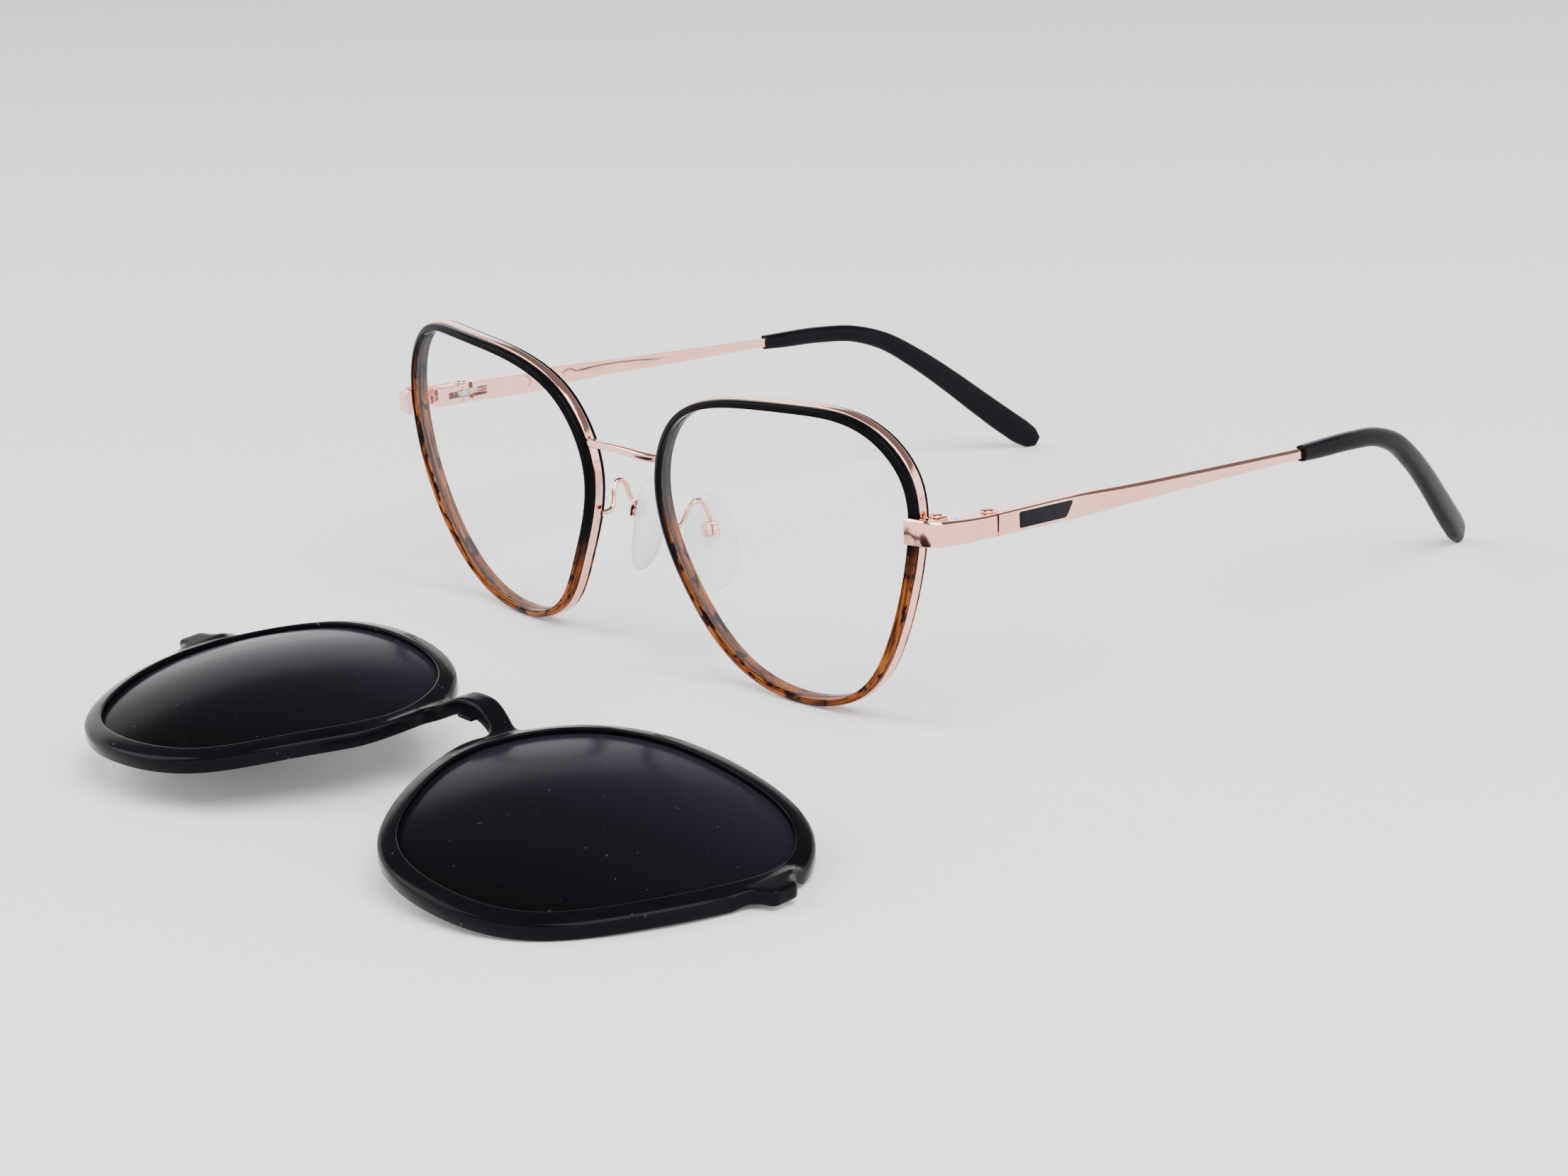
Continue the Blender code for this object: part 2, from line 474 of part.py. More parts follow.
def temple(word, side):
    def spot(distance, outwards=0.0, up=0.0):
        point = along_temple(distance, outwards, up)
        return Vector((side * point.x, point.y, point.z))

    bar = loft(word + "_temple", sections(TEMPLE_BAR, 8, side), ROSE_GOLD, centre)
    core_path = [(x, y, z, CORE_HEIGHT, CORE_THICKNESS) for x, y, z, _, _ in TIP_PATH[:CORE_END]]
    first = core_path[0]
    core_start = (*(Vector(first[:3]) - TEMPLE_DIRECTION * 1.0), *first[3:])
    core = loft(word + "_temple_core", sections([core_start] + core_path, 8, side), None, centre, cutter=True)
    axis_low = Vector((side * HINGE_X, HINGE_Y, HINGE_Z - 4))
    axis_high = Vector((side * HINGE_X, HINGE_Y, HINGE_Z + 4))
    round_cut = rod(word + "_knuckle_room", axis_low, axis_high, KNUCKLE_RADIUS + 0.2, None, centre,
                    cutter=True, sides=24)
    inner_cut = block(word + "_fold_room", (side * (HINGE_X - 3), HINGE_Y - 1, HINGE_Z - 4),
                      (side * HINGE_X, HINGE_Y + KNUCKLE_RADIUS + 0.2, HINGE_Z + 4), None, centre,
                      cutter=True)
    tongue_cut = block(word + "_tongue_slot", (side * (HINGE_X - 3), HINGE_Y, HINGE_Z - 0.85),
                       (side * (HINGE_X + ROD_X + 0.65), HINGE_Y + COLLAR_START, HINGE_Z + 0.6), None, centre,
                       cutter=True)
    rod_hole = rod(word + "_rod_hole", spot(2.0, ROD_X), spot(BORE_END - 2, ROD_X), ROD_BORE, None, centre,
                   cutter=True)
    spring_hole = rod(word + "_spring_bore", spot(COLLAR_END, ROD_X), spot(BORE_END, ROD_X), SPRING_BORE,
                      None, centre, cutter=True)
    pin_hole = rod(word + "_pin_hole", spot(PIN_AT, -3), spot(PIN_AT, ROD_X - 0.3), 0.36, None, centre,
                   cutter=True, sides=12)
    recess = prism(word + "_inlay_recess", INLAY, side, OUTER_FACE - 0.3, OUTER_FACE + 1, 0.08, None,
                   cutter=True)
    boolean(bar, core, "UNION")
    for tool in (round_cut, inner_cut, tongue_cut, rod_hole, spring_hole, pin_hole, recess):
        boolean(bar, tool, "DIFFERENCE")
    prism(word + "_temple_inlay", INLAY, side, OUTER_FACE - 0.25, OUTER_FACE + 0.02, 0.0, BLACK_GLOSS)
    rod(word + "_spring_pin", spot(PIN_AT, -1.25), spot(PIN_AT, -0.55), 0.3, ROSE_GOLD, centre, sides=12)

    tip = loft(word + "_temple_tip", sections(TIP_PATH, 2.6, side), BLACK_SATIN, centre)
    room_size = (CORE_HEIGHT + 2 * CORE_ROOM, CORE_THICKNESS + 2 * CORE_ROOM)
    room = [(*station[:3], *room_size) for station in core_path]
    last = Vector(room[-1][:3])
    beyond = last + (last - Vector(room[-2][:3])).normalized() * 0.4
    room_cut = [(*(Vector(room[0][:3]) - TEMPLE_DIRECTION), *room[0][3:])] + room + [(*beyond, *room[-1][3:])]
    core_room = loft(word + "_core_room", sections(room_cut, 8, side), None, centre, cutter=True)
    boolean(tip, core_room, "DIFFERENCE")

    # spring hinge: the middle knuckle, its rod, and the coil that pulls the temple shut
    slider = rod(word + "_hinge_slider", (side * HINGE_X, HINGE_Y, HINGE_Z - SLIDER_HALF),
                 (side * HINGE_X, HINGE_Y, HINGE_Z + SLIDER_HALF), KNUCKLE_RADIUS - 0.1, STEEL, centre,
                 sides=24)
    tongue_x = HINGE_X + ROD_X
    tongue = block(word + "_slider_tongue", (side * (tongue_x - 0.5), HINGE_Y + 0.8, HINGE_Z - SLIDER_HALF),
                   (side * (tongue_x + 0.5), HINGE_Y + 3.2, HINGE_Z + 0.3), None, centre, cutter=True)
    stem = rod(word + "_slider_rod", spot(2.6, ROD_X), spot(ROD_HEAD_START + 0.1, ROD_X), ROD_RADIUS, None,
               centre, cutter=True, sides=12)
    stem_head = rod(word + "_slider_head", spot(ROD_HEAD_START, ROD_X), spot(ROD_HEAD_END, ROD_X), 0.72, None,
                    centre, cutter=True)
    bore = rod(word + "_slider_bore", axis_low, axis_high, SCREW_BORE, None, centre, cutter=True)
    for tool, operation in ((tongue, "UNION"), (stem, "UNION"), (stem_head, "UNION"), (bore, "DIFFERENCE")):
        boolean(slider, tool, operation)
    hinge_spring(word, spot)


def hinge_spring(word, spot):
    turns, steps, wire, coil_radius = 7, 10, 0.11, 0.6
    start, end = spot(COLLAR_END + 0.15, ROD_X), spot(ROD_HEAD_START - 0.15, ROD_X)
    across = (end - start).cross(Vector((0, 0, 1))).normalized()
    up = across.cross(end - start).normalized()
    points = []
    for k in range(turns * steps + 1):
        share = k / (turns * steps)
        angle = 2 * pi * k / steps
        points.append(start.lerp(end, share) + (across * cos(angle) + up * sin(angle)) * coil_radius)
    tube(word + "_hinge_spring", points, wire, STEEL, centre, smoothness=0)


# --- Clip-on ---------------------------------------------------------------------------------------------
TAB_OUTLINE = [(61.4, 1.0), (66.4, 2.5), (66.4, 6.2), (61.4, 7.8)]    # x and z of the magnet tab
TAB_FRONT, TAB_BACK = 6.5, 8.8
TAB_MAGNET = Vector((64.4, 7.6, 4.4))                                 # front of its magnet


def clip_tab(word, side):
    """A flat tapered lug with its magnet let into the back."""
    lug = loft(word + "_clip_tab", [[Vector((side * x, y, z)) for x, z in TAB_OUTLINE]
                                    for y in (TAB_FRONT, TAB_BACK)], None, clip, cutter=True)
    spot = Vector((side * TAB_MAGNET.x, TAB_MAGNET.y, TAB_MAGNET.z))
    pocket = rod(word + "_clip_pocket", spot - Vector((0, 0.1, 0)), spot + Vector((0, 3, 0)), 1.35, None,
                 clip, cutter=True, sides=24)
    rod(word + "_clip_magnet", spot, (spot.x, TAB_BACK + 0.05, spot.z), 1.25, MAGNET, clip, sides=24)
    return lug, pocket


def clip_on():
    body = ring("clip_front", 1, CLIP_SECTION, BLACK_GLOSS, clip)
    other = ring("clip_right_rim", -1, CLIP_SECTION, BLACK_GLOSS, clip)
    parts.objects.unlink(other)
    cutters.objects.link(other)
    other.hide_render = True
    other.display_type = "WIRE"
    boolean(body, other, "UNION")

    steps, half_span = 12, 9.7
    rings = []
    for k in range(steps + 1):
        share = 2 * k / steps - 1
        x, z = half_span * share, BRIDGE_MAGNET.z - 2.2 * share ** 2
        slope = Vector((half_span, 0, -4.4 * share)).normalized()
        up = Vector((-slope.z, 0, slope.x))
        face, back = 0.1 + 0.8 * share ** 2, 2.6 + 0.3 * share ** 2
        corners = [
            (face + 0.5, 1.75), (face, 1.3), (face, -1.3), (face + 0.5, -1.75), (back, -1.75), (back, 1.75)]
        rings.append([Vector((x, y, z)) + up * rise for y, rise in corners])
    arch = loft("clip_arch", rings, None, clip, cutter=True)
    boolean(body, arch, "UNION")
    tabs = [clip_tab(word, side) for word, side in SIDES.items()]
    for lug, _ in tabs:
        boolean(body, lug, "UNION")
    for _, pocket in tabs:
        boolean(body, pocket, "DIFFERENCE")

    for word, side in SIDES.items():
        lens(word + "_clip_lens", side, CLIP_LENS_EDGE, SUN_LENS, clip)
    bridge_magnet(body)


def clip_turn():
    """Axis and angle that turn the clip-on from the table to where it docks on the front."""
    bpy.context.view_layer.update()
    turn = docked.matrix_world.to_3x3() @ clip.matrix_world.to_3x3().transposed()
    return turn.to_quaternion().to_axis_angle()


def bridge_magnet(body):
    """A round magnet in the arch, along the axis that the clip-on turns about when it is put on."""
    axis, _ = clip_turn()
    along = (clip.rotation_euler.to_matrix().transposed() @ axis).normalized()
    rod("clip_bridge_magnet", BRIDGE_MAGNET - along * 2.0, BRIDGE_MAGNET + along * 2.0, 0.8, MAGNET, clip,
        sides=24)
    seat = rod("clip_magnet_seat", BRIDGE_MAGNET - along * 2.3, BRIDGE_MAGNET + along * 2.3, 0.9, None, clip,
               cutter=True, sides=24)
    mouth = block("clip_magnet_mouth", BRIDGE_MAGNET - Vector((2, 0, 0.7)),
                  BRIDGE_MAGNET + Vector((2, 3, 0.7)), None, clip, cutter=True)
    boolean(body, seat, "DIFFERENCE")
    boolean(body, mouth, "DIFFERENCE")


# --- Build -------------------------------------------------------------------------------------------------
for word, side in SIDES.items():
    front_side(word, side)
    nose_pad(word, side)
    temple(word, side)
bridge()
clip_on()
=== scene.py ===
from math import cos, pi, radians, sin

import bmesh
import bpy
import numpy as np
from mathutils import Euler, Matrix, Vector
from mathutils.geometry import delaunay_2d_cdt


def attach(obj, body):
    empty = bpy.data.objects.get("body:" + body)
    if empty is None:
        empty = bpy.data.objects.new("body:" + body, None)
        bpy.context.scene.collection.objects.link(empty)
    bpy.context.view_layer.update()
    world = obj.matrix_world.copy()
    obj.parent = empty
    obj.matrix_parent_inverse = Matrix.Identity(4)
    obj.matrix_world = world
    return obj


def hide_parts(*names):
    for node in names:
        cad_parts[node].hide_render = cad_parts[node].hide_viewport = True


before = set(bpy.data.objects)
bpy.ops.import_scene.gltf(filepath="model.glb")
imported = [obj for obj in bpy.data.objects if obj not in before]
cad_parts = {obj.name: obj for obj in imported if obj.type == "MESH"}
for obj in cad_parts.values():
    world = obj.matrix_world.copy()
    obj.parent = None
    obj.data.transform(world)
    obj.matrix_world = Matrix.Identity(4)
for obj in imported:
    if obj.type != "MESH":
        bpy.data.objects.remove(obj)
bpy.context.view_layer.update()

# Lengths are millimetres, as in the design, and become metres where a mesh is made.
MM = 0.001

# --- Driving dimensions, as in the design -------
RIM_X, RIM_HEIGHT = 36.1, 27.0         # a rim's centre from the middle plane and over the table
FRONT_TILT, FRONT_WRAP = 3.6, 4.9      # degrees, forwards at the top and back at the sides
BASE_RADIUS = 80.0                     # dome that rims and lenses follow
RIM_POINTS = [
    (24.8, 0.0), (24.6, 10.0), (18.3, 16.5), (6.7, 18.3), (-3.2, 17.9), (-13.6, 16.2), (-21.2, 12.3),
    (-26.4, 2.3), (-21.7, -12.6), (-13.2, -22.8), (0.0, -26.1), (12.8, -22.3), (20.7, -11.9)]
RIM_STEPS = 264

# Spring hinges: distances from the screw's axis, and half heights of the ears and knuckle
HINGE = Vector((64.5, 17.9, 30.2))
KNUCKLE_RADIUS, SCREW_RADIUS, SCREW_BORE = 1.45, 0.6, 0.66
EAR_INNER, EAR_OUTER, SLIDER_HALF, JOINT_GAP = 0.55, 1.6, 0.45, 0.15
OUTER_FACE = 2.2
ROD_X, ROD_RADIUS, ROD_BORE = 0.45, 0.38, 0.46
COLLAR_START, COLLAR_END = 4.4, 5.4
SPRING_BORE, BORE_END = 0.85, 13.0
PLUG_AT, PLUG_RADIUS, PLUG_BORE = 12.6, 0.3, 0.36
ROD_HEAD_START, ROD_HEAD_END, ROD_HEAD_RADIUS = 11.4, 12.2, 0.72
TEMPLE_DIRECTION = Vector((-0.034, 1.0, -0.0447)).normalized()
RIM_LOCK = Vector((63.75, 9.1, 31.0))

# The clip-on as it lies on the table, and the middle of everything's footprint
CLIP_PLACE = (31.6, -55.5, 12.85)
CLIP_TURN = [radians(a) for a in (-86.2, 3.2, 2.7)]
FOOTPRINT_CENTRE = (15.3, 25.66)

# The frames that shapes are drawn in: on the table, in the tilted front and in the clip-on
TABLE = Matrix.Translation((-FOOTPRINT_CENTRE[0], -FOOTPRINT_CENTRE[1], 0))
FRONT = TABLE @ Matrix.Translation((0, 0, RIM_HEIGHT)) @ Matrix.Rotation(radians(FRONT_TILT), 4, "X")
CLIP = TABLE @ Matrix.Translation(CLIP_PLACE) @ Euler(CLIP_TURN).to_matrix().to_4x4()
SIDES = {"left": 1, "right": -1}


# --- Shader nodes -------------------------------
class Nodes:
    """Short ways to add nodes to a shader tree."""

    def __init__(self, tree):
        self.tree = tree

    def node(self, kind, **inputs):
        made = self.tree.nodes.new(kind)
        for socket, value in inputs.items():
            self.feed(made.inputs[socket], value)
        return made

    def feed(self, socket, value):
        if isinstance(value, bpy.types.NodeSocket):
            self.tree.links.new(value, socket)
        else:
            socket.default_value = value

    def ramp(self, value, stops):
        made = self.node("ShaderNodeValToRGB", Fac=value)
        band = made.color_ramp
        while len(band.elements) < len(stops):
            band.elements.new(0.5)
        for element, (place, colour) in zip(band.elements, stops):
            rgb = colour if isinstance(colour, tuple) else (colour, colour, colour)
            element.position, element.color = place, (*rgb, 1.0)
        return made.outputs["Color"]

    def sum(self, kind, first, second=0.0, third=0.0):
        made = self.node("ShaderNodeMath")
        made.operation = kind
        for socket, value in zip(made.inputs, (first, second, third)):
            self.feed(socket, value)
        return made.outputs["Value"]

    def parts(self, vector):
        return self.node("ShaderNodeSeparateXYZ", Vector=vector).outputs


# --- Camera, light and floor --------------------
CAMERA_AIM = Vector((5.9, -9.9, 12.9))
CAMERA_DISTANCE, CAMERA_AZIMUTH, CAMERA_ELEVATION, CAMERA_ROLL = 530.0, 51.06, 16.14, -2.98
CAMERA_LENS, CAMERA_SENSOR = 81.12, 36.0


def put(name, data):
    """An object with the given data, in the scene."""
    made = bpy.data.objects.new(name, data)
    bpy.context.scene.collection.objects.link(made)
    return made


def camera():
    azimuth, elevation = radians(CAMERA_AZIMUTH), radians(CAMERA_ELEVATION)
    back = Vector((sin(azimuth) * cos(elevation), -cos(azimuth) * cos(elevation), sin(elevation)))
    roll = Matrix.Rotation(radians(CAMERA_ROLL), 4, "Z")
    turn = back.to_track_quat("Z", "Y").to_matrix().to_4x4() @ roll
    made = bpy.data.cameras.new("camera")
    made.lens, made.sensor_width = CAMERA_LENS, CAMERA_SENSOR
    made.clip_start, made.clip_end = 0.01, 50.0
    eye = put("camera", made)
    eye.matrix_world = Matrix.Translation((CAMERA_AIM + back * CAMERA_DISTANCE) * MM) @ turn
    bpy.context.scene.camera = eye


def softbox(name, place, aim, size, power):
    light = bpy.data.lights.new(name, "AREA")
    light.shape, light.size, light.size_y = "RECTANGLE", size, size
    light.energy = power
    lamp = put(name, light)
    lamp.location = place
    lamp.rotation_euler = (Vector(place) - Vector(aim)).to_track_quat("Z", "Y").to_euler()


# Brightness of the room from straight down to straight up: white walls and a dark ceiling, which draws
# the thin dark lines along the polished metal's edges
ROOM = [(0.0, 1.0), (0.50, 1.05), (0.70, 1.05), (0.75, 0.10), (1.0, 0.10)]
ROOM_TINT, ROOM_STRENGTH = 0.98, 2.5      # the tint is red and green as a share of blue
# Lamps: name, place and aim in metres, width and watts
SOFTBOXES = [
    ("key_box", (0.75, -0.15, 1.15), (0.1, 0, 0), 1.1, 32.0),
    ("fill_box", (-0.75, -0.75, 0.9), (0, 0, 0), 0.9, 14.0)]
FLOOR_SIZE, FLOOR_CELLS = 6.0, 8


def studio():
    world = bpy.data.worlds.new("studio")
    world.use_nodes = True
    bpy.context.scene.world = world
    room = Nodes(world.node_tree)
    height = room.parts(room.node("ShaderNodeTexCoord").outputs["Generated"])["Z"]
    tones = [(place, (value * ROOM_TINT, value * ROOM_TINT, value)) for place, value in ROOM]
    background = room.tree.nodes["Background"]
    room.feed(background.inputs["Color"], room.ramp(room.sum("MULTIPLY_ADD", height, 0.5, 0.5), tones))
    room.feed(background.inputs["Strength"], ROOM_STRENGTH)
    for lamp in SOFTBOXES:
        softbox(*lamp)

    data = bmesh.new()
    bmesh.ops.create_grid(data, x_segments=FLOOR_CELLS, y_segments=FLOOR_CELLS, size=FLOOR_SIZE)
    mesh = bpy.data.meshes.new("floor")
    data.to_mesh(mesh)
    data.free()
    floor = put("floor", mesh)
    mesh.materials.append(floor_surface())


# --- Material building blocks -------------------
class Surface(Nodes):
    """A material with its Principled shader and the textures that feed it."""

    def __init__(self, name, roughness, metallic=0.0, alpha=1.0, specular=0.5):
        self.material = bpy.data.materials.new(name)
        self.material.use_nodes = True
        super().__init__(self.material.node_tree)
        self.shader = self.tree.nodes["Principled BSDF"]
        for socket, value in (("Roughness", roughness), ("Metallic", metallic), ("Alpha", alpha),
                              ("Specular IOR Level", specular)):
            self.shader.inputs[socket].default_value = value

    def stretched(self, vector, scale):
        return self.node("ShaderNodeMapping", Vector=vector, Scale=scale).outputs["Vector"]

    def coordinates(self, kind="Object", scale=(1, 1, 1)):
        return self.stretched(self.node("ShaderNodeTexCoord").outputs[kind], scale)

    def noise(self, vector, scale, detail=3.0, roughness=0.55):
        made = self.node("ShaderNodeTexNoise", Vector=vector, Scale=scale, Detail=detail,
                         Roughness=roughness)
        return made.outputs["Fac"]

    def between(self, noise, low, high):
        """A tone or value that wanders between two as the noise does."""
        return self.ramp(noise, [(0.3, low), (0.7, high)])

    def mix(self, share, first, second):
        made = self.node("ShaderNodeMix")
        made.data_type = "RGBA"
        factor, a, b = made.inputs[0], made.inputs[6], made.inputs[7]
        for socket, value in ((factor, share), (a, first), (b, second)):
            self.feed(socket, (*value, 1.0) if isinstance(value, tuple) else value)
        return made.outputs[2]

    def dusted(self, base, scale, dust):
        """A colour with sparse specks of dust on it."""
        specks = self.noise(self.coordinates(), scale, 0.0)
        return self.mix(self.ramp(specks, [(0.845, 0.0), (0.87, 1.0)]), base, dust)

    def bump(self, height, strength, distance):
        made = self.node("ShaderNodeBump", Height=height, Strength=strength, Distance=distance)
        self.tree.links.new(made.outputs["Normal"], self.shader.inputs["Normal"])

    def colour(self, value):
        self.feed(self.shader.inputs["Base Color"], value)

    def rough(self, value):
        self.feed(self.shader.inputs["Roughness"], value)

    def alpha(self, value):
        self.feed(self.shader.inputs["Alpha"], value)


def floor_surface():
    floor = Surface("floor_paper", 0.65, specular=0.2)
    grain = floor.noise(floor.coordinates(), 400.0)
    floor.colour(floor.ramp(grain, [(0.0, (0.90, 0.90, 0.905)), (1.0, (0.93, 0.93, 0.935))]))
    return floor.material


def rose_gold():
    """Polished plating: faint clouding, fine polish lines and a slightly worn tone."""
    metal = Surface("rose_gold", 0.08, metallic=1.0)
    cloud = metal.noise(metal.coordinates(), 90.0, 2.0)
    metal.colour(metal.between(cloud, (0.93, 0.49, 0.37), (0.96, 0.54, 0.42)))
    lines = metal.noise(metal.coordinates(scale=(1, 0.06, 1)), 2600.0, 4.0, 0.7)
    metal.rough(metal.between(lines, 0.05, 0.12))
    metal.bump(lines, 0.05, 0.00001)
    return metal.material


# Where the brown of the rims starts, in metres: its height at the middle plane, its rise per metre
# outwards, the extra height on the inner wall and how far the blots reach
BROWN_START, BROWN_RISE, INNER_BROWN_RISE, BLOT_REACH = 0.0115, 0.25, 0.011, 0.016
# Where the rim section's inner wall starts, where its lens groove lies, and the half width of the
# painted shade along the groove, in centimetres round the section
INNER_WALL_START, LENS_GROOVE_AT, GROOVE_SHADE_HALF = 0.60, 0.765, 0.032


def tortoise():
    """Rim plastic: black at the top, running down into streaked brown and amber tortoise."""
    rim = Surface("rim_tortoise", 0.12, specular=0.025)
    grain = rim.coordinates("UV")
    around = rim.parts(grain)["Y"]
    place = rim.parts(rim.coordinates())
    from_middle = rim.sum("ABSOLUTE", rim.sum("ADD", place["X"], FOOTPRINT_CENTRE[0] * MM))
    # the brown starts higher at the outer side than beside the nose, and higher still on the inner wall
    inner_wall = rim.sum("GREATER_THAN", around, INNER_WALL_START)
    start = rim.sum("MULTIPLY_ADD", inner_wall, INNER_BROWN_RISE, BROWN_START)
    start = rim.sum("MULTIPLY_ADD", from_middle, BROWN_RISE, start)
    blot = rim.noise(rim.stretched(grain, (1.6, 2.4, 1)), 1.0, 2.0)
    depth = rim.sum("SUBTRACT", start, place["Z"])
    ragged = rim.sum("MULTIPLY_ADD", blot, BLOT_REACH, rim.sum("ADD", depth, -BLOT_REACH / 2))
    brown_share = rim.ramp(rim.sum("MULTIPLY_ADD", ragged, 60.0, 0.35), [(0.15, 0.0), (0.75, 1.0)])
    streak = rim.noise(rim.stretched(grain, (1.3, 26.0, 1)), 1.0, 4.0, 0.6)
    blocks = rim.noise(rim.stretched(grain, (2.6, 5.0, 3)), 1.0, 3.0, 0.55)
    amber = rim.ramp(streak, [
        (0.30, (0.010, 0.003, 0.002)), (0.42, (0.055, 0.014, 0.004)), (0.52, (0.16, 0.042, 0.010)),
        (0.60, (0.30, 0.090, 0.020)), (0.72, (0.11, 0.028, 0.012))])
    patched = rim.mix(rim.ramp(blocks, [(0.42, 1.0), (0.48, 0.0)]), amber, (0.010, 0.003, 0.003))
    shaded = rim.mix(brown_share, (0.003, 0.003, 0.004), patched)
    # painted shade: the colour is darkened along the groove that holds the lens, drawing the groove's
    # shadow as a dark line
    groove_shade = rim.sum("COMPARE", around, LENS_GROOVE_AT, GROOVE_SHADE_HALF)
    rim.colour(rim.mix(groove_shade, shaded, (0.006, 0.003, 0.003)))
    polish = rim.noise(rim.coordinates(), 900.0)
    rim.rough(rim.between(polish, 0.08, 0.15))
    rim.bump(streak, 0.06, 0.00003)
    return rim.material


def clear_glass():
    """Nearly invisible, with more of a sheen towards its edges and faint smears."""
    glass = Surface("clear_lens", 0.03, alpha=0.05)
    edge = glass.node("ShaderNodeLayerWeight", Blend=0.25).outputs["Facing"]
    glass.alpha(glass.ramp(edge, [(0.0, 0.025), (0.75, 0.05), (1.0, 0.30)]))
    haze = glass.noise(glass.coordinates(), 60.0)
    glass.colour(glass.between(haze, (0.93, 0.95, 0.96), (0.97, 0.98, 0.99)))
    smear = glass.noise(glass.coordinates(), 25.0, 2.0)
    glass.rough(glass.ramp(smear, [(0.4, 0.02), (0.7, 0.05)]))
    return glass.material


def sun_glass():
    """Dark grey glass with a painted bluish reflection that grows lighter towards one corner, and a few
    specks of dust.
    """
    glass = Surface("sun_lens", 0.18, alpha=0.97, specular=0.01)
    place = glass.parts(glass.coordinates("Generated"))
    # painted reflection: the colour runs from near black to a lighter bluish grey across the lens,
    # towards one corner
    sheen = glass.sum("MULTIPLY_ADD", place["Y"], 0.9, 0.35)
    sheen = glass.sum("MULTIPLY_ADD", place["X"], -0.45, sheen)
    tint_and_painted_reflection = glass.ramp(sheen, [(0.0, (0.0025, 0.0025, 0.0025)), (0.5, (0.006, 0.0055, 0.008)),
                              (1.0, (0.014, 0.013, 0.022))])
    glass.colour(glass.dusted(tint_and_painted_reflection, 1500.0, (0.03, 0.03, 0.04)))
    cloud = glass.noise(glass.coordinates(), 20.0, 2.0)
    glass.rough(glass.between(cloud, 0.14, 0.22))
    return glass.material


def silicone():
    """Milky and half clear, denser where it is seen edge on, with painted shade that turns it greyer
    there.
    """
    pad = Surface("pad_silicone", 0.15, alpha=0.5)
    edge = pad.node("ShaderNodeLayerWeight", Blend=0.45).outputs["Facing"]
    pad.alpha(pad.ramp(edge, [(0.0, 0.5), (0.4, 0.6), (0.7, 0.85), (1.0, 1.0)]))
    milk = pad.noise(pad.coordinates(), 260.0, 3.0)
    body = pad.between(milk, (0.80, 0.79, 0.86), (0.95, 0.94, 0.97))
    # painted shade: the colour turns a darker violet grey where the pad is seen edge on
    pad.colour(pad.mix(pad.ramp(edge, [(0.40, 0.0), (0.90, 1.0)]), body, (0.28, 0.28, 0.36)))
    pad.bump(milk, 0.15, 0.0001)
    return pad.material


def enamel():
    coat = Surface("black_enamel", 0.14, specular=0.08)
    peel = coat.noise(coat.coordinates(), 1200.0, 2.0)
    coat.colour(coat.between(peel, (0.005, 0.005, 0.007), (0.008, 0.008, 0.011)))
    coat.rough(coat.between(peel, 0.12, 0.18))
    coat.bump(peel, 0.2, 0.00002)
    return coat.material


def tip_plastic():
    """Tumbled satin acetate, a little glossier where hair and fingers polish it."""
    tip = Surface("tip_acetate", 0.32, specular=0.06)
    cloud = tip.noise(tip.coordinates(), 120.0, 3.0)
    tip.colour(tip.between(cloud, (0.003, 0.003, 0.004), (0.005, 0.005, 0.007)))
    tip.rough(tip.between(cloud, 0.26, 0.36))
    grain = tip.noise(tip.coordinates(), 3000.0, 2.0)
    tip.bump(grain, 0.12, 0.00003)
    return tip.material


def clip_plastic():
    """Moulded black gloss with sparse dust, as on the table."""
    body = Surface("clip_plastic", 0.14, specular=0.05)
    cloud = body.noise(body.coordinates(), 80.0, 3.0)
    base = body.between(cloud, (0.0025, 0.0025, 0.0035), (0.004, 0.004, 0.0055))
    body.colour(body.dusted(base, 1300.0, (0.04, 0.04, 0.05)))
    body.rough(body.between(cloud, 0.10, 0.20))
    ripple = body.noise(body.coordinates(), 240.0, 1.0)
    body.bump(ripple, 0.08, 0.00005)
    return body.material


def turned_metal(name, light, dark):
    """Bare metal with fine turning lines."""
    metal = Surface(name, 0.28, metallic=1.0)
    lines = metal.noise(metal.coordinates(scale=(1, 1, 14)), 500.0, 4.0, 0.7)
    metal.colour(metal.between(lines, dark, light))
    metal.rough(metal.between(lines, 0.22, 0.36))
    metal.bump(lines, 0.15, 0.00002)
    return metal.material


SURFACES = {
    "rose_gold": rose_gold(),
    "rim_plastic": tortoise(),
    "clear_lens": clear_glass(),
    "sun_lens": sun_glass(),
    "pad_silicone": silicone(),
    "black_enamel": enamel(),
    "tip_acetate": tip_plastic(),
    "clip_plastic": clip_plastic(),
    "hinge_steel": turned_metal("hinge_steel", (0.62, 0.62, 0.64), (0.45, 0.45, 0.47)),
    "magnet": turned_metal("magnet_nickel", (0.60, 0.60, 0.62), (0.50, 0.50, 0.52))}


# --- Mesh building blocks -----------------------
def solid(data, place, side=1):
    """A mesh in metres from a bmesh in millimetres in a frame, mirrored there for the right side."""
    bmesh.ops.transform(data, matrix=place @ Matrix.Diagonal((side, 1, 1, 1)), verts=data.verts)
    bmesh.ops.scale(data, vec=(MM, MM, MM), verts=data.verts)
    bmesh.ops.recalc_face_normals(data, faces=data.faces)
    mesh = bpy.data.meshes.new("solid")
    data.to_mesh(mesh)
    data.free()
    return mesh


ADD, CUT = "UNION", "DIFFERENCE"


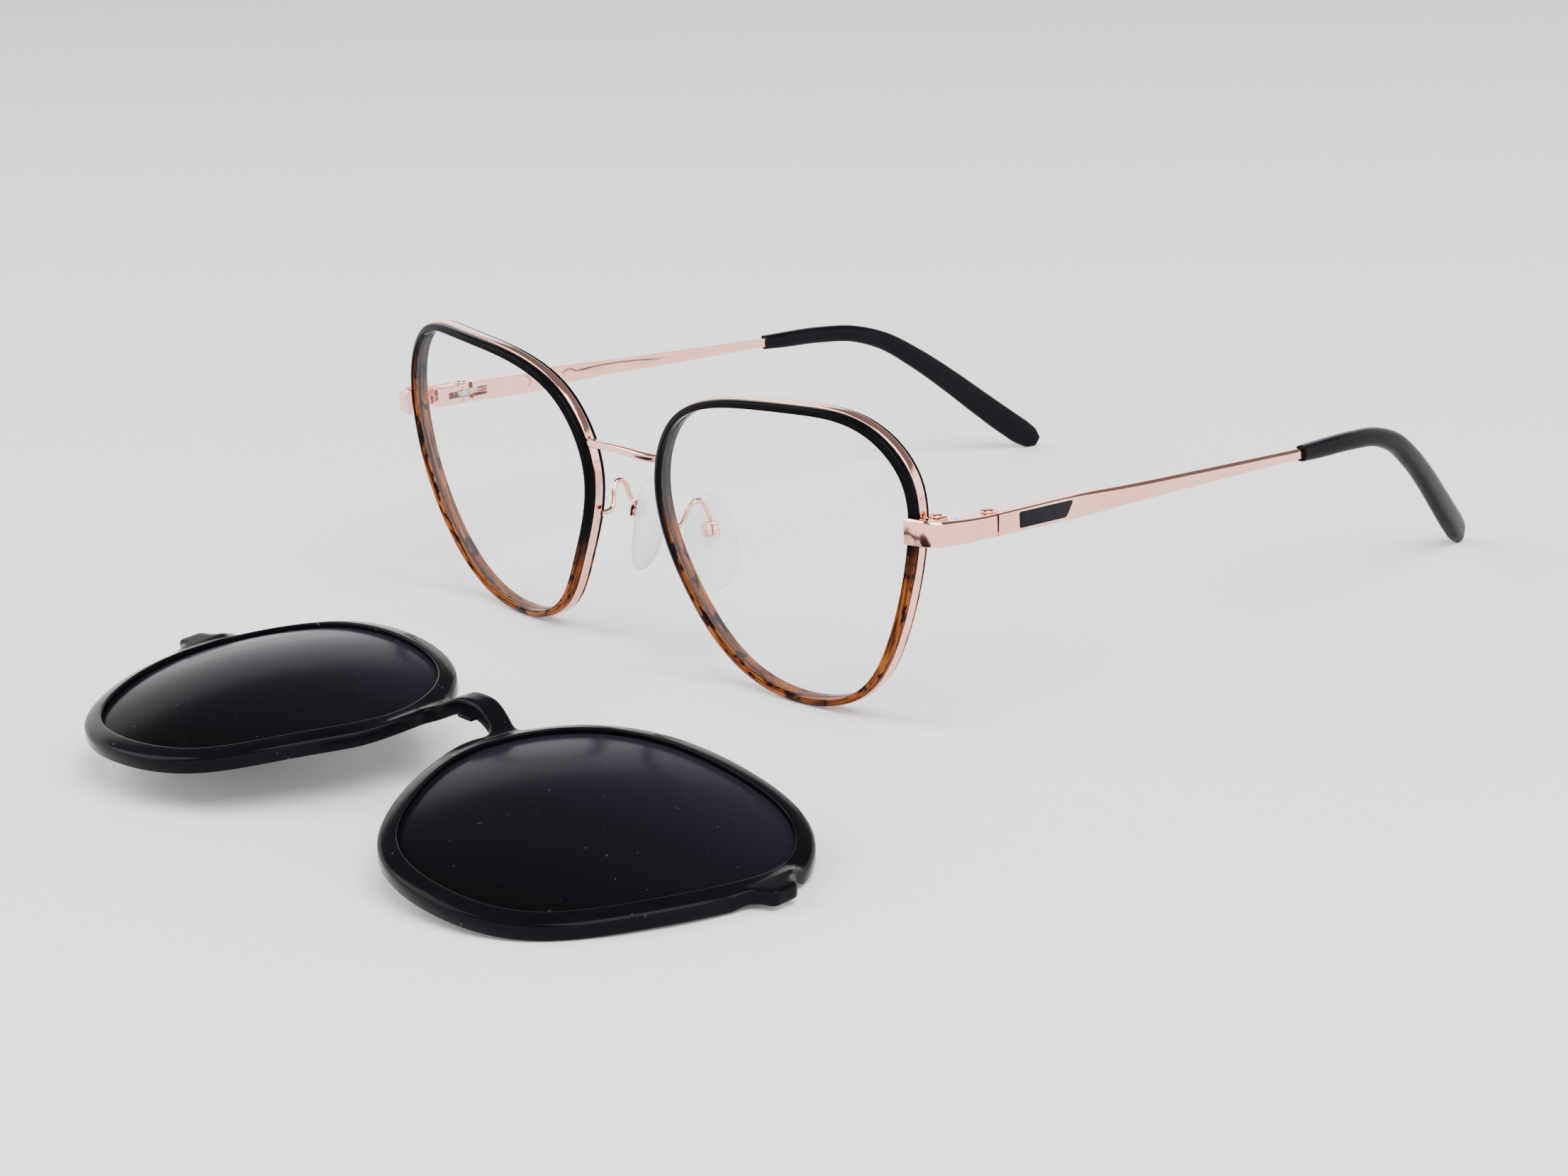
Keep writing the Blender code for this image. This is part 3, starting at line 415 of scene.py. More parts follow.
def carve(place, side, base, *tools):
    """A solid made in one frame from bmeshes; the tools, (ADD or CUT, bmesh), are applied in order."""
    target = put("carved", solid(base, place, side))
    helpers = []
    for operation, tool in tools:
        helper = put("tool", solid(tool, place, side))
        helpers.append(helper)
        change = target.modifiers.new("change", "BOOLEAN")
        change.operation, change.object, change.solver = operation, helper, "EXACT"
    bpy.context.view_layer.update()
    graph = bpy.context.evaluated_depsgraph_get()
    made = bpy.data.meshes.new_from_object(target.evaluated_get(graph))
    for old in [target, *helpers]:
        bpy.data.objects.remove(old, do_unlink=True)
    return made


def piece(name, mesh, body, slot, *replaced, sharp=32):
    """Put a finished mesh in the scene as a piece of the object, in place of its CAD nodes."""
    mesh.name = name
    mesh.materials.clear()
    mesh.materials.append(SURFACES[slot])
    mesh.polygons.foreach_set("material_index", [0] * len(mesh.polygons))
    mesh.shade_smooth()
    mesh.set_sharp_from_angle(angle=radians(sharp))
    made = put(name, mesh)
    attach(made, body)
    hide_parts(*replaced)


def centimetres(points):
    """How far along a line of points each of them lies."""
    steps = [(Vector(b) - Vector(a)).length / 10 for a, b in zip(points, points[1:])]
    return np.concatenate([[0.0], np.cumsum(steps)])


def skin(rings, round_trip=False):
    """A bmesh over a row of closed rings, with UVs in centimetres along and around it."""
    data = bmesh.new()
    grain = data.loops.layers.uv.new("grain")
    rows = [[data.verts.new(point) for point in ring] for ring in rings]
    count = len(rows[0])
    lines = rings + rings[:1] if round_trip else rings
    along = centimetres([line[0] for line in lines])
    around = centimetres(rings[0] + rings[0][:1])
    for i in range(len(lines) - 1):
        row, following = rows[i], rows[(i + 1) % len(rows)]
        for j in range(count):
            k = (j + 1) % count
            face = data.faces.new((row[j], row[k], following[k], following[j]))
            spots = ((i, j), (i, j + 1), (i + 1, j + 1), (i + 1, j))
            for loop, (a, b) in zip(face.loops, spots):
                loop[grain].uv = (along[a], around[b])
    if not round_trip:
        data.faces.new(rows[0])
        data.faces.new(rows[-1])
    return data


def rounded(corners, steps=4):
    """An outline whose corners, (x, y, radius), are rounded off."""
    found = []
    for i, (x, y, radius) in enumerate(corners):
        corner = Vector((x, y))
        before = Vector(corners[i - 1][:2]) - corner
        after = Vector(corners[(i + 1) % len(corners)][:2]) - corner
        reach = min(radius, before.length * 0.45, after.length * 0.45)
        if reach < 0.001:
            found.append((x, y))
            continue
        for k in range(steps + 1):
            t = k / steps
            back, on = before.normalized() * reach, after.normalized() * reach
            found.append(tuple(corner + back * (1 - t) ** 2 + on * t ** 2))
    return found


def box(low, high, bevel=0.0, segments=3):
    data = bmesh.new()
    size = Vector(high) - Vector(low)
    place = Matrix.Translation((Vector(high) + Vector(low)) / 2) @ Matrix.Diagonal((*size, 1.0))
    bmesh.ops.create_cube(data, size=1.0, matrix=place)
    if bevel:
        bmesh.ops.bevel(data, geom=data.edges[:], offset=bevel, segments=segments, affect="EDGES",
                        profile=0.5)
    return data


def hoop(middle, across, up, radius, sides):
    """Points evenly round a circle."""
    angles = [2 * pi * k / sides for k in range(sides)]
    return [middle + (across * cos(angle) + up * sin(angle)) * radius for angle in angles]


def turned(start, end, profile, sides=48):
    """A turned solid on the line from start to end; profile is (share of the length, radius)."""
    start, end = Vector(start), Vector(end)
    turn = (end - start).to_track_quat("Z", "Y").to_matrix()
    across, up = turn.col[0], turn.col[1]
    return skin([hoop(start.lerp(end, share), across, up, radius, sides) for share, radius in profile])


def rod(start, end, radius, sides=48, edge=0.0):
    """A round bar, with its end edges rounded when edge is given."""
    if not edge:
        return turned(start, end, [(0, radius), (1, radius)], sides)
    share = edge / (Vector(end) - Vector(start)).length
    profile = [(0, radius - edge), (share * 0.3, radius - edge * 0.3), (share, radius),
               (1 - share, radius), (1 - share * 0.3, radius - edge * 0.3), (1, radius - edge)]
    return turned(start, end, profile, sides)


def sweep(path, radius, sides):
    """A bent wire along a path."""
    rings = []
    across = None
    for i, point in enumerate(path):
        along = (path[min(i + 1, len(path) - 1)] - path[max(i - 1, 0)]).normalized()
        side = along.cross(Vector((0, 0, 1))) if across is None else across - along * across.dot(along)
        across = side.normalized()
        rings.append(hoop(point, across, along.cross(across), radius, sides))
    return skin(rings)


def smooth_rows(rows, count):
    """Rows read off evenly from a smooth curve through the given rows, which start with x, y, z."""
    knots = np.array(rows, float)
    steps = np.linalg.norm(np.diff(knots[:, :3], axis=0), axis=1)
    place = np.concatenate([[0.0], np.cumsum(steps)])
    slopes = np.gradient(knots, place, axis=0)
    found = []
    for t in np.linspace(0, place[-1], count):
        i = min(int(np.searchsorted(place, t, side="right")) - 1, len(knots) - 2)
        gap = place[i + 1] - place[i]
        s = (t - place[i]) / gap
        leaving = (2 * s ** 3 - 3 * s ** 2 + 1) * knots[i] + (s ** 3 - 2 * s ** 2 + s) * gap * slopes[i]
        reaching = (3 * s ** 2 - 2 * s ** 3) * knots[i + 1] + (s ** 3 - s ** 2) * gap * slopes[i + 1]
        found.append(leaving + reaching)
    return found


def closed_spline(points, count):
    """Evenly spaced points on the smooth closed cubic through a ring of points."""
    knots = np.array(points, float)
    n = len(knots)
    spans = np.linalg.norm(np.roll(knots, -1, 0) - knots, axis=1)
    system = np.zeros((n, n))
    bends = np.zeros((n, knots.shape[1]))
    for i in range(n):
        before, after = spans[i - 1], spans[i]
        nxt = (i + 1) % n
        system[i, i - 1], system[i, i], system[i, nxt] = before, 2 * (before + after), after
        bends[i] = 6 * ((knots[nxt] - knots[i]) / after - (knots[i] - knots[i - 1]) / before)
    bends = np.linalg.solve(system, bends)
    lengths = np.concatenate([[0], np.cumsum(spans)])
    found = []
    for t in np.arange(count) * lengths[-1] / count:
        i = min(int(np.searchsorted(lengths, t, side="right")) - 1, n - 1)
        nxt = (i + 1) % n
        a = (lengths[i + 1] - t) / spans[i]
        b = 1 - a
        curved = ((a ** 3 - a) * bends[i] + (b ** 3 - b) * bends[nxt]) * spans[i] ** 2 / 6
        found.append(a * knots[i] + b * knots[nxt] + curved)
    return np.array(found)


# --- Rims and lenses ----------------------------
OUTLINE = closed_spline(RIM_POINTS, RIM_STEPS)

# Sections: (distance outside the rim's inner edge, depth behind the front face, corner radius), and
# edges of the lenses, without radii; the shares are those of the rings across a lens
INSERT_SECTION = [
    (0.0, 0.0, 0.3), (1.15, 0.0, 0.4), (1.15, 0.97, 0.12), (0.8, 0.97, 0.04), (0.8, 2.33, 0.04),
    (1.15, 2.33, 0.1), (1.15, 3.0, 0.25), (0.0, 3.0, 0.25), (0.0, 1.85, 0.08), (0.35, 1.5, 0.06),
    (0.0, 1.15, 0.08)]
EYEWIRE_SECTION = [(0.86, 1.02, 0.1), (1.32, 1.02, 0.14), (1.32, 2.28, 0.14), (0.86, 2.28, 0.1)]
LENS_EDGE = [(-0.1, 0.9), (-0.03, 1.22), (0.22, 1.5), (-0.03, 1.78), (-0.1, 2.1)]
LENS_SHARES = (0.06, 0.2, 0.35, 0.5, 0.65, 0.8, 0.92)
CLIP_LENS_EDGE = [(0.5, 0.93), (0.5, 1.67)]


def outline_at(distance):
    """The rim's outline, (u, v) as in on_rim, at a distance outside its inner edge."""
    along = np.roll(OUTLINE, -1, 0) - np.roll(OUTLINE, 1, 0)
    along /= np.linalg.norm(along, axis=1)[:, None]
    return OUTLINE + np.stack([along[:, 1], -along[:, 0]], -1) * distance


def on_rim(u, v, depth):
    """A point of the left rim in the front's frame: u away from the nose, v up, depth behind."""
    back = (u * u + v * v) / (2 * BASE_RADIUS) + depth
    turn = radians(FRONT_WRAP)
    return Vector((RIM_X + u * cos(turn) - back * sin(turn), u * sin(turn) + back * cos(turn), v))


def ring(section):
    """A section swept round the rim."""
    rows = [(outline_at(distance), depth) for distance, depth in rounded(section)]
    rings = [[on_rim(*row[i], depth) for row, depth in rows] for i in range(RIM_STEPS)]
    return skin(rings, round_trip=True)


def lens(edge):
    """A curved lens with the given edge, domed like the rims."""
    inner = outline_at(edge[0][0])
    rows = [(inner * share, edge[0][1]) for share in LENS_SHARES]
    rows += [(outline_at(distance), depth) for distance, depth in edge]
    rows += [(inner * share, edge[-1][1]) for share in reversed(LENS_SHARES)]
    return skin([[on_rim(*point, depth) for point in row] for row, depth in rows])


def rims(word, side):
    insert, band = solid(ring(INSERT_SECTION), FRONT, side), solid(ring(EYEWIRE_SECTION), FRONT, side)
    piece(word + "_rim", insert, "root", "rim_plastic", word + "_rim_insert")
    piece(word + "_rim_band", band, "root", "rose_gold", word + "_eyewire")
    clear, dark = solid(lens(LENS_EDGE), FRONT, side), solid(lens(CLIP_LENS_EDGE), CLIP, side)
    piece(word + "_clear_lens", clear, "root", "clear_lens", word + "_lens")
    piece(word + "_sun_lens", dark, "clip_on", "sun_lens", word + "_clip_lens")


# --- Bars: bridge, end pieces, temples ----------
def bar(stations, section, steps):
    """A loft along stations of (x, y, z, height, thickness, bevel); section makes each outline."""
    rows = smooth_rows(stations, steps)
    path = [Vector(row[:3]) for row in rows]
    rings = []
    for i, (spot, row) in enumerate(zip(path, rows)):
        along = (path[min(i + 1, len(path) - 1)] - path[max(i - 1, 0)]).normalized()
        across = along.cross(Vector((0, 0, 1))).normalized()
        up = across.cross(along)
        rings.append([spot + across * out + up * rise for out, rise in section(*row[3:])])
    return skin(rings)


def bevelled(height, thickness, bevel):
    """A flat bar's outline with a slanted top edge on its outer face."""
    h, t = height / 2, thickness / 2
    slant = [(t, h - bevel, 0.10), (t - bevel * 0.8, h, 0.10)]
    return rounded([(t, -h, 0.18), *slant, (-t, h, 0.14), (-t, -h, 0.14)], 3)


def oval(height, thickness, power):
    """A rounded outline, an ellipse at power 2 and squarer above it."""
    spots = []
    for k in range(40):
        c, s = cos(2 * pi * k / 40), sin(2 * pi * k / 40)
        spots.append((abs(c) ** (2 / power) * (1 if c > 0 else -1) * thickness / 2,
                      abs(s) ** (2 / power) * (1 if s > 0 else -1) * height / 2))
    return spots


# The bridge's ends, its arch and its section; (back, up) in the front's frame
BRIDGE_HALF_SPAN, BRIDGE_END, BRIDGE_ARCH = 9.0, (2.9, 6.05), (-1.1, 0.9)
BRIDGE_STEPS, BRIDGE_SWELL = 72, 0.22
BRIDGE_SECTION = [(-0.52, -0.62, 0.38), (0.52, -0.62, 0.38), (0.52, 0.62, 0.38), (-0.52, 0.62, 0.38)]


def bridge():
    """The arched bar; its ends curve back to the bands and swell a little where they are soldered."""
    shares = [2 * k / BRIDGE_STEPS - 1 for k in range(BRIDGE_STEPS + 1)]
    points = []
    for share in shares:
        arch = 1 - share ** 2
        back = BRIDGE_END[0] + BRIDGE_ARCH[0] * arch + share ** 8
        points.append(Vector((BRIDGE_HALF_SPAN * share, back, BRIDGE_END[1] + BRIDGE_ARCH[1] * arch)))
    rings = []
    for k, (share, point) in enumerate(zip(shares, points)):
        run = points[min(k + 1, BRIDGE_STEPS)] - points[max(k - 1, 0)]
        up = Vector((-run.z, 0, run.x)).normalized()
        swell = 1 + BRIDGE_SWELL * abs(share) ** 14
        rings.append([point + Vector((0, back, 0)) * swell + up * rise * swell
                      for back, rise in rounded(BRIDGE_SECTION)])
    piece("bridge_bar", solid(skin(rings), FRONT), "root", "rose_gold", "bridge")


END_STRAP = [
    (61.2, 5.5, 31.1, 3.8, 0.8, 0.3), (63.2, 5.9, 31.1, 3.8, 0.85, 0.32),
    (64.9, 6.5, 31.05, 3.7, 1.0, 0.34), (65.9, 7.6, 30.95, 3.6, 1.05, 0.36),
    (66.2, 9.0, 30.85, 3.5, 1.05, 0.36), (66.2, 11.5, 30.6, 3.35, 1.05, 0.34),
    (66.15, 14.5, 30.35, 3.25, 1.05, 0.3), (66.15, HINGE.y - JOINT_GAP, HINGE.z, 3.2, 1.1, 0.28)]
# The leaf behind the strap that carries the ears, and the gap between them, from the hinge axis
LEAF_LENGTH, LEAF_INNER, LEAF_OUTER = 5.3, 1.1, 1.75
EAR_GAP_LENGTH, EAR_GAP_OUTER = 3.2, 1.6
SCREW_SEAT_RADIUS = 1.12
# Screw heads: (radius, height)
HINGE_HEAD, LOCK_HEAD = (1.05, 0.32), (0.95, 0.3)
SCREW_DOME = (0.0, 0.35, 0.6, 0.8, 0.92, 1.0)
SCREW_SLOT_HALF, SCREW_SLOT_TURN = 0.13, 24


def ear(y, z, inwards=0.0):
    """A point near the left hinge axis."""
    return HINGE + Vector((-inwards, y, z))


def end_piece(word, side):
    """The strap round the corner, with its two hinge ears and the screw through them."""
    strap = bar(END_STRAP, bevelled, 90)
    leaf = box(ear(-LEAF_LENGTH, -EAR_OUTER, LEAF_INNER), ear(-JOINT_GAP, EAR_OUTER, -LEAF_OUTER), 0.12)
    barrel = rod(ear(0, -EAR_OUTER), ear(0, EAR_OUTER), KNUCKLE_RADIUS, edge=0.1)
    gap = box(ear(-EAR_GAP_LENGTH, -EAR_INNER, 3), ear(3, EAR_INNER, -EAR_GAP_OUTER))
    bore = rod(ear(0, -EAR_OUTER - 1), ear(0, EAR_OUTER + 1), SCREW_BORE)
    seat = rod(ear(0, EAR_OUTER - 0.02), ear(0, EAR_OUTER + 1), SCREW_SEAT_RADIUS)
    made = carve(TABLE, side, strap, (ADD, leaf), (ADD, barrel), (CUT, gap), (CUT, bore), (CUT, seat))
    piece(word + "_end_strap", made, "root", "rose_gold", word + "_end_piece")
    pin = screw(ear(0, 0.1 - EAR_OUTER), ear(0, EAR_OUTER + 0.1), SCREW_RADIUS, HINGE_HEAD, side)
    piece(word + "_hinge_pin", pin, word + "_hinge_pin", "rose_gold", word + "_hinge_screw")


def screw(foot, top, radius, head, side):
    """A screw with a domed, slotted head; the slot lies a little askew, as a tightened one does."""
    head_radius, head_height = head
    length = (top - foot).length + head_height
    under = (top - foot).length / length
    dome = [(under + (1 - under) * t, head_radius * (1 - 0.32 * t ** 3)) for t in SCREW_DOME]
    profile = [(0, radius * 0.8), (0.04, radius), (under, radius)] + dome
    shank = turned(foot, foot + (top - foot).normalized() * length, profile)
    slot = box((-head_radius - 1, -SCREW_SLOT_HALF, 0), (head_radius + 1, SCREW_SLOT_HALF, 1))
    place = Matrix.Translation(top + Vector((0, 0, head_height * 0.5)))
    turn = place @ Matrix.Rotation(radians(SCREW_SLOT_TURN), 4, "Z")
    bmesh.ops.transform(slot, matrix=turn, verts=slot.verts)
    return carve(TABLE, side, shank, (CUT, slot))


LOCK_HALF = Vector((1.05, 1.35, 1.8))
LOCK_SPLIT_HALF, LOCK_SCREW_RADIUS, LOCK_BORE = 0.12, 0.5, 0.56


def rim_lock(word, side):
    """The split block that closes the eyewire, held together by a web at its back and its screw."""
    def near(x, y, z):
        return RIM_LOCK + Vector((x, y, z))

    block = box(RIM_LOCK - LOCK_HALF, RIM_LOCK + LOCK_HALF, 0.3, 4)
    split = box(near(-2, -2, -LOCK_SPLIT_HALF), near(2, 2, LOCK_SPLIT_HALF))
    web = box(near(-0.9, 0.95, -0.3), near(0.9, 1.2, 0.3))
    bore = rod(near(0, 0, -3), near(0, 0, 3), LOCK_BORE)
    made = carve(TABLE, side, block, (CUT, split), (ADD, web), (CUT, bore))
    piece(word + "_lock_block", made, "root", "rose_gold", word + "_rim_lock")
    made = screw(near(0, 0, -1.7), near(0, 0, 1.9), LOCK_SCREW_RADIUS, LOCK_HEAD, side)
    piece(word + "_lock_screw", made, "root", "rose_gold", word + "_rim_lock_screw")


# --- Nose pads ----------------------------------
PAD_BOX = Vector((9.2, 11.9, 20.8))
PAD_ALONG = Vector((0.35, 0.94, 0.0)).normalized()
PAD_UP = Vector((-0.14, 0.05, 0.99)).normalized()
PAD_HALF = Vector((4.3, 0.95, 7.4))
PAD_LEVELS = 40
# The cross pin in a pad's own frame, and the bore for it
PAD_PIN_Y, PAD_PIN_RADIUS, PAD_BORE = 0.25, 0.26, 0.31
PAD_WIRE_RADIUS, PAD_WIRE_STEPS = 0.42, 80
PAD_ARM = [(8.15, 4.2, 21.9), (8.1, 5.2, 21.9), (8.3, 6.4, 22.2), (8.8, 7.2, 23.4), (9.3, 7.8, 24.9),
           (9.6, 8.7, 25.8), (9.7, 9.8, 25.7), (9.8, 10.6, 24.6), (9.9, 11.1, 23.2), (9.8, 11.5, 22.35)]


def pad_frame():
    """A pad's own frame: x along the pad, y to the nose, z up it."""
    up = (PAD_UP - PAD_ALONG * PAD_UP.dot(PAD_ALONG)).normalized()
    to_nose = Vector((-PAD_ALONG.y, PAD_ALONG.x, 0)).normalized()
    to_nose = (to_nose - up * to_nose.dot(up)).normalized()
    return Matrix.Translation(PAD_BOX) @ Matrix((PAD_ALONG, to_nose, up)).transposed().to_4x4()


def pad_disc():
    """A soft oval, fuller below than above, thick in the middle and rounded at its rim."""
    rings = []
    for k in range(1, PAD_LEVELS):
        angle = pi * k / PAD_LEVELS
        rise, reach = -cos(angle), sin(angle)
        width = PAD_HALF.x * reach ** 0.92 * (1 - 0.14 * rise)
        thick = PAD_HALF.y * reach ** 0.6
        lean = 0.5 * rise ** 2
        rings.append([Vector((0.3 + x, 2.15 - lean + y, -2.2 + PAD_HALF.z * rise))
                      for x, y in oval(2 * thick, 2 * width, 2.3)])
    return skin(rings)


def cross_pin(half, radius, edge=0.0):
    return rod((-half, PAD_PIN_Y, 0), (half, PAD_PIN_Y, 0), radius, 24, edge)


def nose_pad(word, side):
    """A pad with its boss in a slotted box, the pin through both and the bent arm of the box."""
    turn = TABLE @ Matrix.Diagonal((side, 1, 1, 1)) @ pad_frame()
    housing = box((-1.15, -0.9, -1.2), (1.15, 0.85, 1.2), 0.42, 5)
    slot = box((-0.62, -0.35, -2), (0.62, 2, 2))
    made = carve(turn, 1, housing, (CUT, slot), (CUT, cross_pin(2, PAD_BORE)))
    piece(word + "_pad_housing", made, "root", "rose_gold", word + "_pad_box")
    pin = solid(cross_pin(1.3, PAD_PIN_RADIUS, 0.06), turn)
    piece(word + "_pad_pin", pin, "root", "rose_gold", word + "_pad_screw")

    boss = box((-0.5, -0.2, -0.55), (0.5, 1.9, 0.55), 0.1)
    made = carve(turn, 1, pad_disc(), (ADD, boss), (CUT, cross_pin(2, PAD_BORE)))
    piece(word + "_pad", made, word + "_pad", "pad_silicone", word + "_nose_pad", sharp=50)
    path = [Vector(point) for point in smooth_rows(PAD_ARM, PAD_WIRE_STEPS)]
    arm = solid(sweep(path, PAD_WIRE_RADIUS, 16), TABLE, side)
    piece(word + "_pad_wire", arm, "root", "rose_gold", word + "_pad_arm", sharp=50)


# --- Temples ------------------------------------
def spot(distance, outwards=0.0, up=0.0):
    """A point beside the left temple's own line, which starts at the hinge axis."""
    return HINGE + TEMPLE_DIRECTION * distance + Vector((outwards, 0, up))


def temple_station(distance, thickness, height, bevel):
    return (*spot(distance, OUTER_FACE - thickness / 2), height, thickness, bevel)


TEMPLE_BAR = [temple_station(*s) for s in (
    (JOINT_GAP, 3.3, 3.2, 0.24), (6.0, 3.3, 3.3, 0.24), (14.5, 3.25, 3.4, 0.26), (17.0, 2.5, 3.4, 0.34),
    (19.5, 1.6, 3.3, 0.42), (24.0, 1.25, 2.95, 0.46), (42.0, 1.2, 2.2, 0.5), (65.2, 1.15, 1.5, 0.5))]
# Stations of the tip: (x, y, z, height, thickness)
TIP_PATH = [
    (64.0, 83.0, 27.25, 2.5, 2.2), (63.75, 86.0, 27.1, 2.7, 2.3), (62.9, 95.0, 26.7, 2.9, 2.4),
    (61.8, 102.0, 25.8, 3.0, 2.4), (60.5, 108.0, 23.6, 3.3, 2.5), (58.8, 114.0, 19.6, 3.7, 2.5),
    (56.8, 120.0, 14.7, 4.1, 2.5), (54.6, 126.0, 9.3, 4.5, 2.5), (52.7, 131.0, 4.9, 4.7, 2.5),
    (51.6, 133.8, 2.6, 4.5, 2.3), (51.0, 135.3, 1.5, 3.6, 2.0), (50.6, 136.2, 0.9, 2.0, 1.3)]
TIP_SQUARENESS = 2.6
# The core runs along the first rows of the tip's path
CORE_ROWS, CORE_HEIGHT, CORE_THICKNESS, CORE_ROOM = 6, 1.15, 0.8, 0.12
# The inlay's outline: (distance behind the hinge, height, corner radius), with its depth and play
INLAY = [(4.3, -1.15, 0.35), (4.3, 1.2, 0.4), (15.2, 1.2, 0.7), (13.6, -1.15, 0.5)]
INLAY_DEPTH, INLAY_ROOM, INLAY_PLAY, INLAY_PROUD, INLAY_DOME = 0.25, 0.3, 0.08, 0.02, 0.06
# Room in the temple round the slider's knuckle and over, under and outside its tongue
KNUCKLE_ROOM = 0.2
TONGUE_UNDER, TONGUE_OVER, TONGUE_OUTSIDE = 0.85, 0.6, 0.65


def plaque(inner, outer, grow, dome=0.0):
    """The inlay's outline as a plate on the outer face, between two depths."""
    outline = [Vector(point) for point in rounded(INLAY, 6)]
    middle = sum(outline, Vector((0, 0))) / len(outline)
    levels = [(inner, 0.0), (outer, dome * 2)]
    if dome:
        levels[1:1] = [(outer - dome, 0.0), (outer - dome * 0.3, dome * 0.6)]
    rings = []
    for depth, drawn_in in levels:
        moved = [point + (point - middle).normalized() * (grow - drawn_in) for point in outline]
        rings.append([spot(point.x, depth, point.y) for point in moved])
    return skin(rings)


def core_bar(extra, reach):
    """The temple's thin metal core inside the tip, or the room for it."""
    size = (CORE_HEIGHT + extra, CORE_THICKNESS + extra, 0.1)
    path = [(*row[:3], *size) for row in TIP_PATH[:CORE_ROWS]]
    start = Vector(path[0][:3]) - TEMPLE_DIRECTION
    last = Vector(path[-1][:3])
    beyond = last + (last - Vector(path[-2][:3])).normalized() * reach
    return [(*start, *size)] + path + ([(*beyond, *size)] if reach else [])


def temple(word, side):
    """The metal temple with its hollows, the inlay, the spring's plug and the plastic tip."""
    hollows = [
        rod(ear(0, -4), ear(0, 4), KNUCKLE_RADIUS + KNUCKLE_ROOM),
        box(ear(-1, -4, 3), ear(KNUCKLE_RADIUS + KNUCKLE_ROOM, 4)),
        box(ear(0, -TONGUE_UNDER, 3), ear(COLLAR_START, TONGUE_OVER, -ROD_X - TONGUE_OUTSIDE)),
        rod(spot(2.0, ROD_X), spot(BORE_END - 2, ROD_X), ROD_BORE, 24),
        rod(spot(COLLAR_END, ROD_X), spot(BORE_END, ROD_X), SPRING_BORE, 32),
        rod(spot(PLUG_AT, -3), spot(PLUG_AT, ROD_X - 0.3), PLUG_BORE, 24),
        plaque(OUTER_FACE - INLAY_ROOM, OUTER_FACE + 1, INLAY_PLAY)]
    core = bar(core_bar(0.0, 0.0), bevelled, 60)
    made = carve(TABLE, side, bar(TEMPLE_BAR, bevelled, 150), (ADD, core),
                 *[(CUT, hollow) for hollow in hollows])
    body = word + "_temple"
    piece(word + "_temple_bar", made, body, "rose_gold", word + "_temple")
    inlay = plaque(OUTER_FACE - INLAY_DEPTH, OUTER_FACE + INLAY_PROUD, 0.0, INLAY_DOME)
    piece(word + "_inlay", solid(inlay, TABLE, side), body, "black_enamel", word + "_temple_inlay")
    plug = rod(spot(PLUG_AT, -1.25), spot(PLUG_AT, -0.5), PLUG_RADIUS, 24, 0.06)
    piece(word + "_spring_plug", solid(plug, TABLE, side), body, "rose_gold", word + "_spring_pin")

    tip = bar([(*row, TIP_SQUARENESS) for row in TIP_PATH], oval, 150)
    room = bar(core_bar(2 * CORE_ROOM, 0.4), bevelled, 60)
    made = carve(TABLE, side, tip, (CUT, room))
    piece(word + "_tip", made, body, "tip_acetate", word + "_temple_tip", sharp=40)
    slider(word, side)


# The coil starts farther behind the collar than the slider travels, and ends short of the rod's head
COIL_TURNS, COIL_STEPS, COIL_RADIUS, COIL_WIRE = 7, 24, 0.6, 0.11
COIL_START, COIL_END = COLLAR_END + 0.65, ROD_HEAD_START - 0.15


def slider(word, side):
    """Middle knuckle of the spring hinge with its rod, and the coil on the rod."""
    body = word + "_spring_slider"
    knuckle = rod(ear(0, -SLIDER_HALF), ear(0, SLIDER_HALF), KNUCKLE_RADIUS - 0.1, edge=0.06)
    tongue = box(ear(0.8, -SLIDER_HALF, 0.5 - ROD_X), ear(3.2, 0.3, -0.5 - ROD_X))
    stem = rod(spot(2.6, ROD_X), spot(ROD_HEAD_START + 0.1, ROD_X), ROD_RADIUS, 24)
    head = rod(spot(ROD_HEAD_START, ROD_X), spot(ROD_HEAD_END, ROD_X), ROD_HEAD_RADIUS, 24, 0.1)
    bore = rod(ear(0, -4), ear(0, 4), SCREW_BORE)
    made = carve(TABLE, side, knuckle, (ADD, tongue), (ADD, stem), (ADD, head), (CUT, bore))
    piece(word + "_hinge_knuckle", made, body, "hinge_steel", word + "_hinge_slider")

    start, end = spot(COIL_START, ROD_X), spot(COIL_END, ROD_X)
    across = (end - start).cross(Vector((0, 0, 1))).normalized()
    up = across.cross(end - start).normalized()
    path = []
    for k in range(COIL_TURNS * COIL_STEPS + 1):
        angle = 2 * pi * k / COIL_STEPS
        middle = start.lerp(end, k / (COIL_TURNS * COIL_STEPS))
        path.append(middle + (across * cos(angle) + up * sin(angle)) * COIL_RADIUS)
    coil = solid(sweep(path, COIL_WIRE, 8), TABLE, side)
    piece(word + "_coil", coil, body, "hinge_steel", word + "_hinge_spring", sharp=60)


# --- Clip-on ------------------------------------
CLIP_BORDER, CLIP_DEPTH = 2.6, 2.2
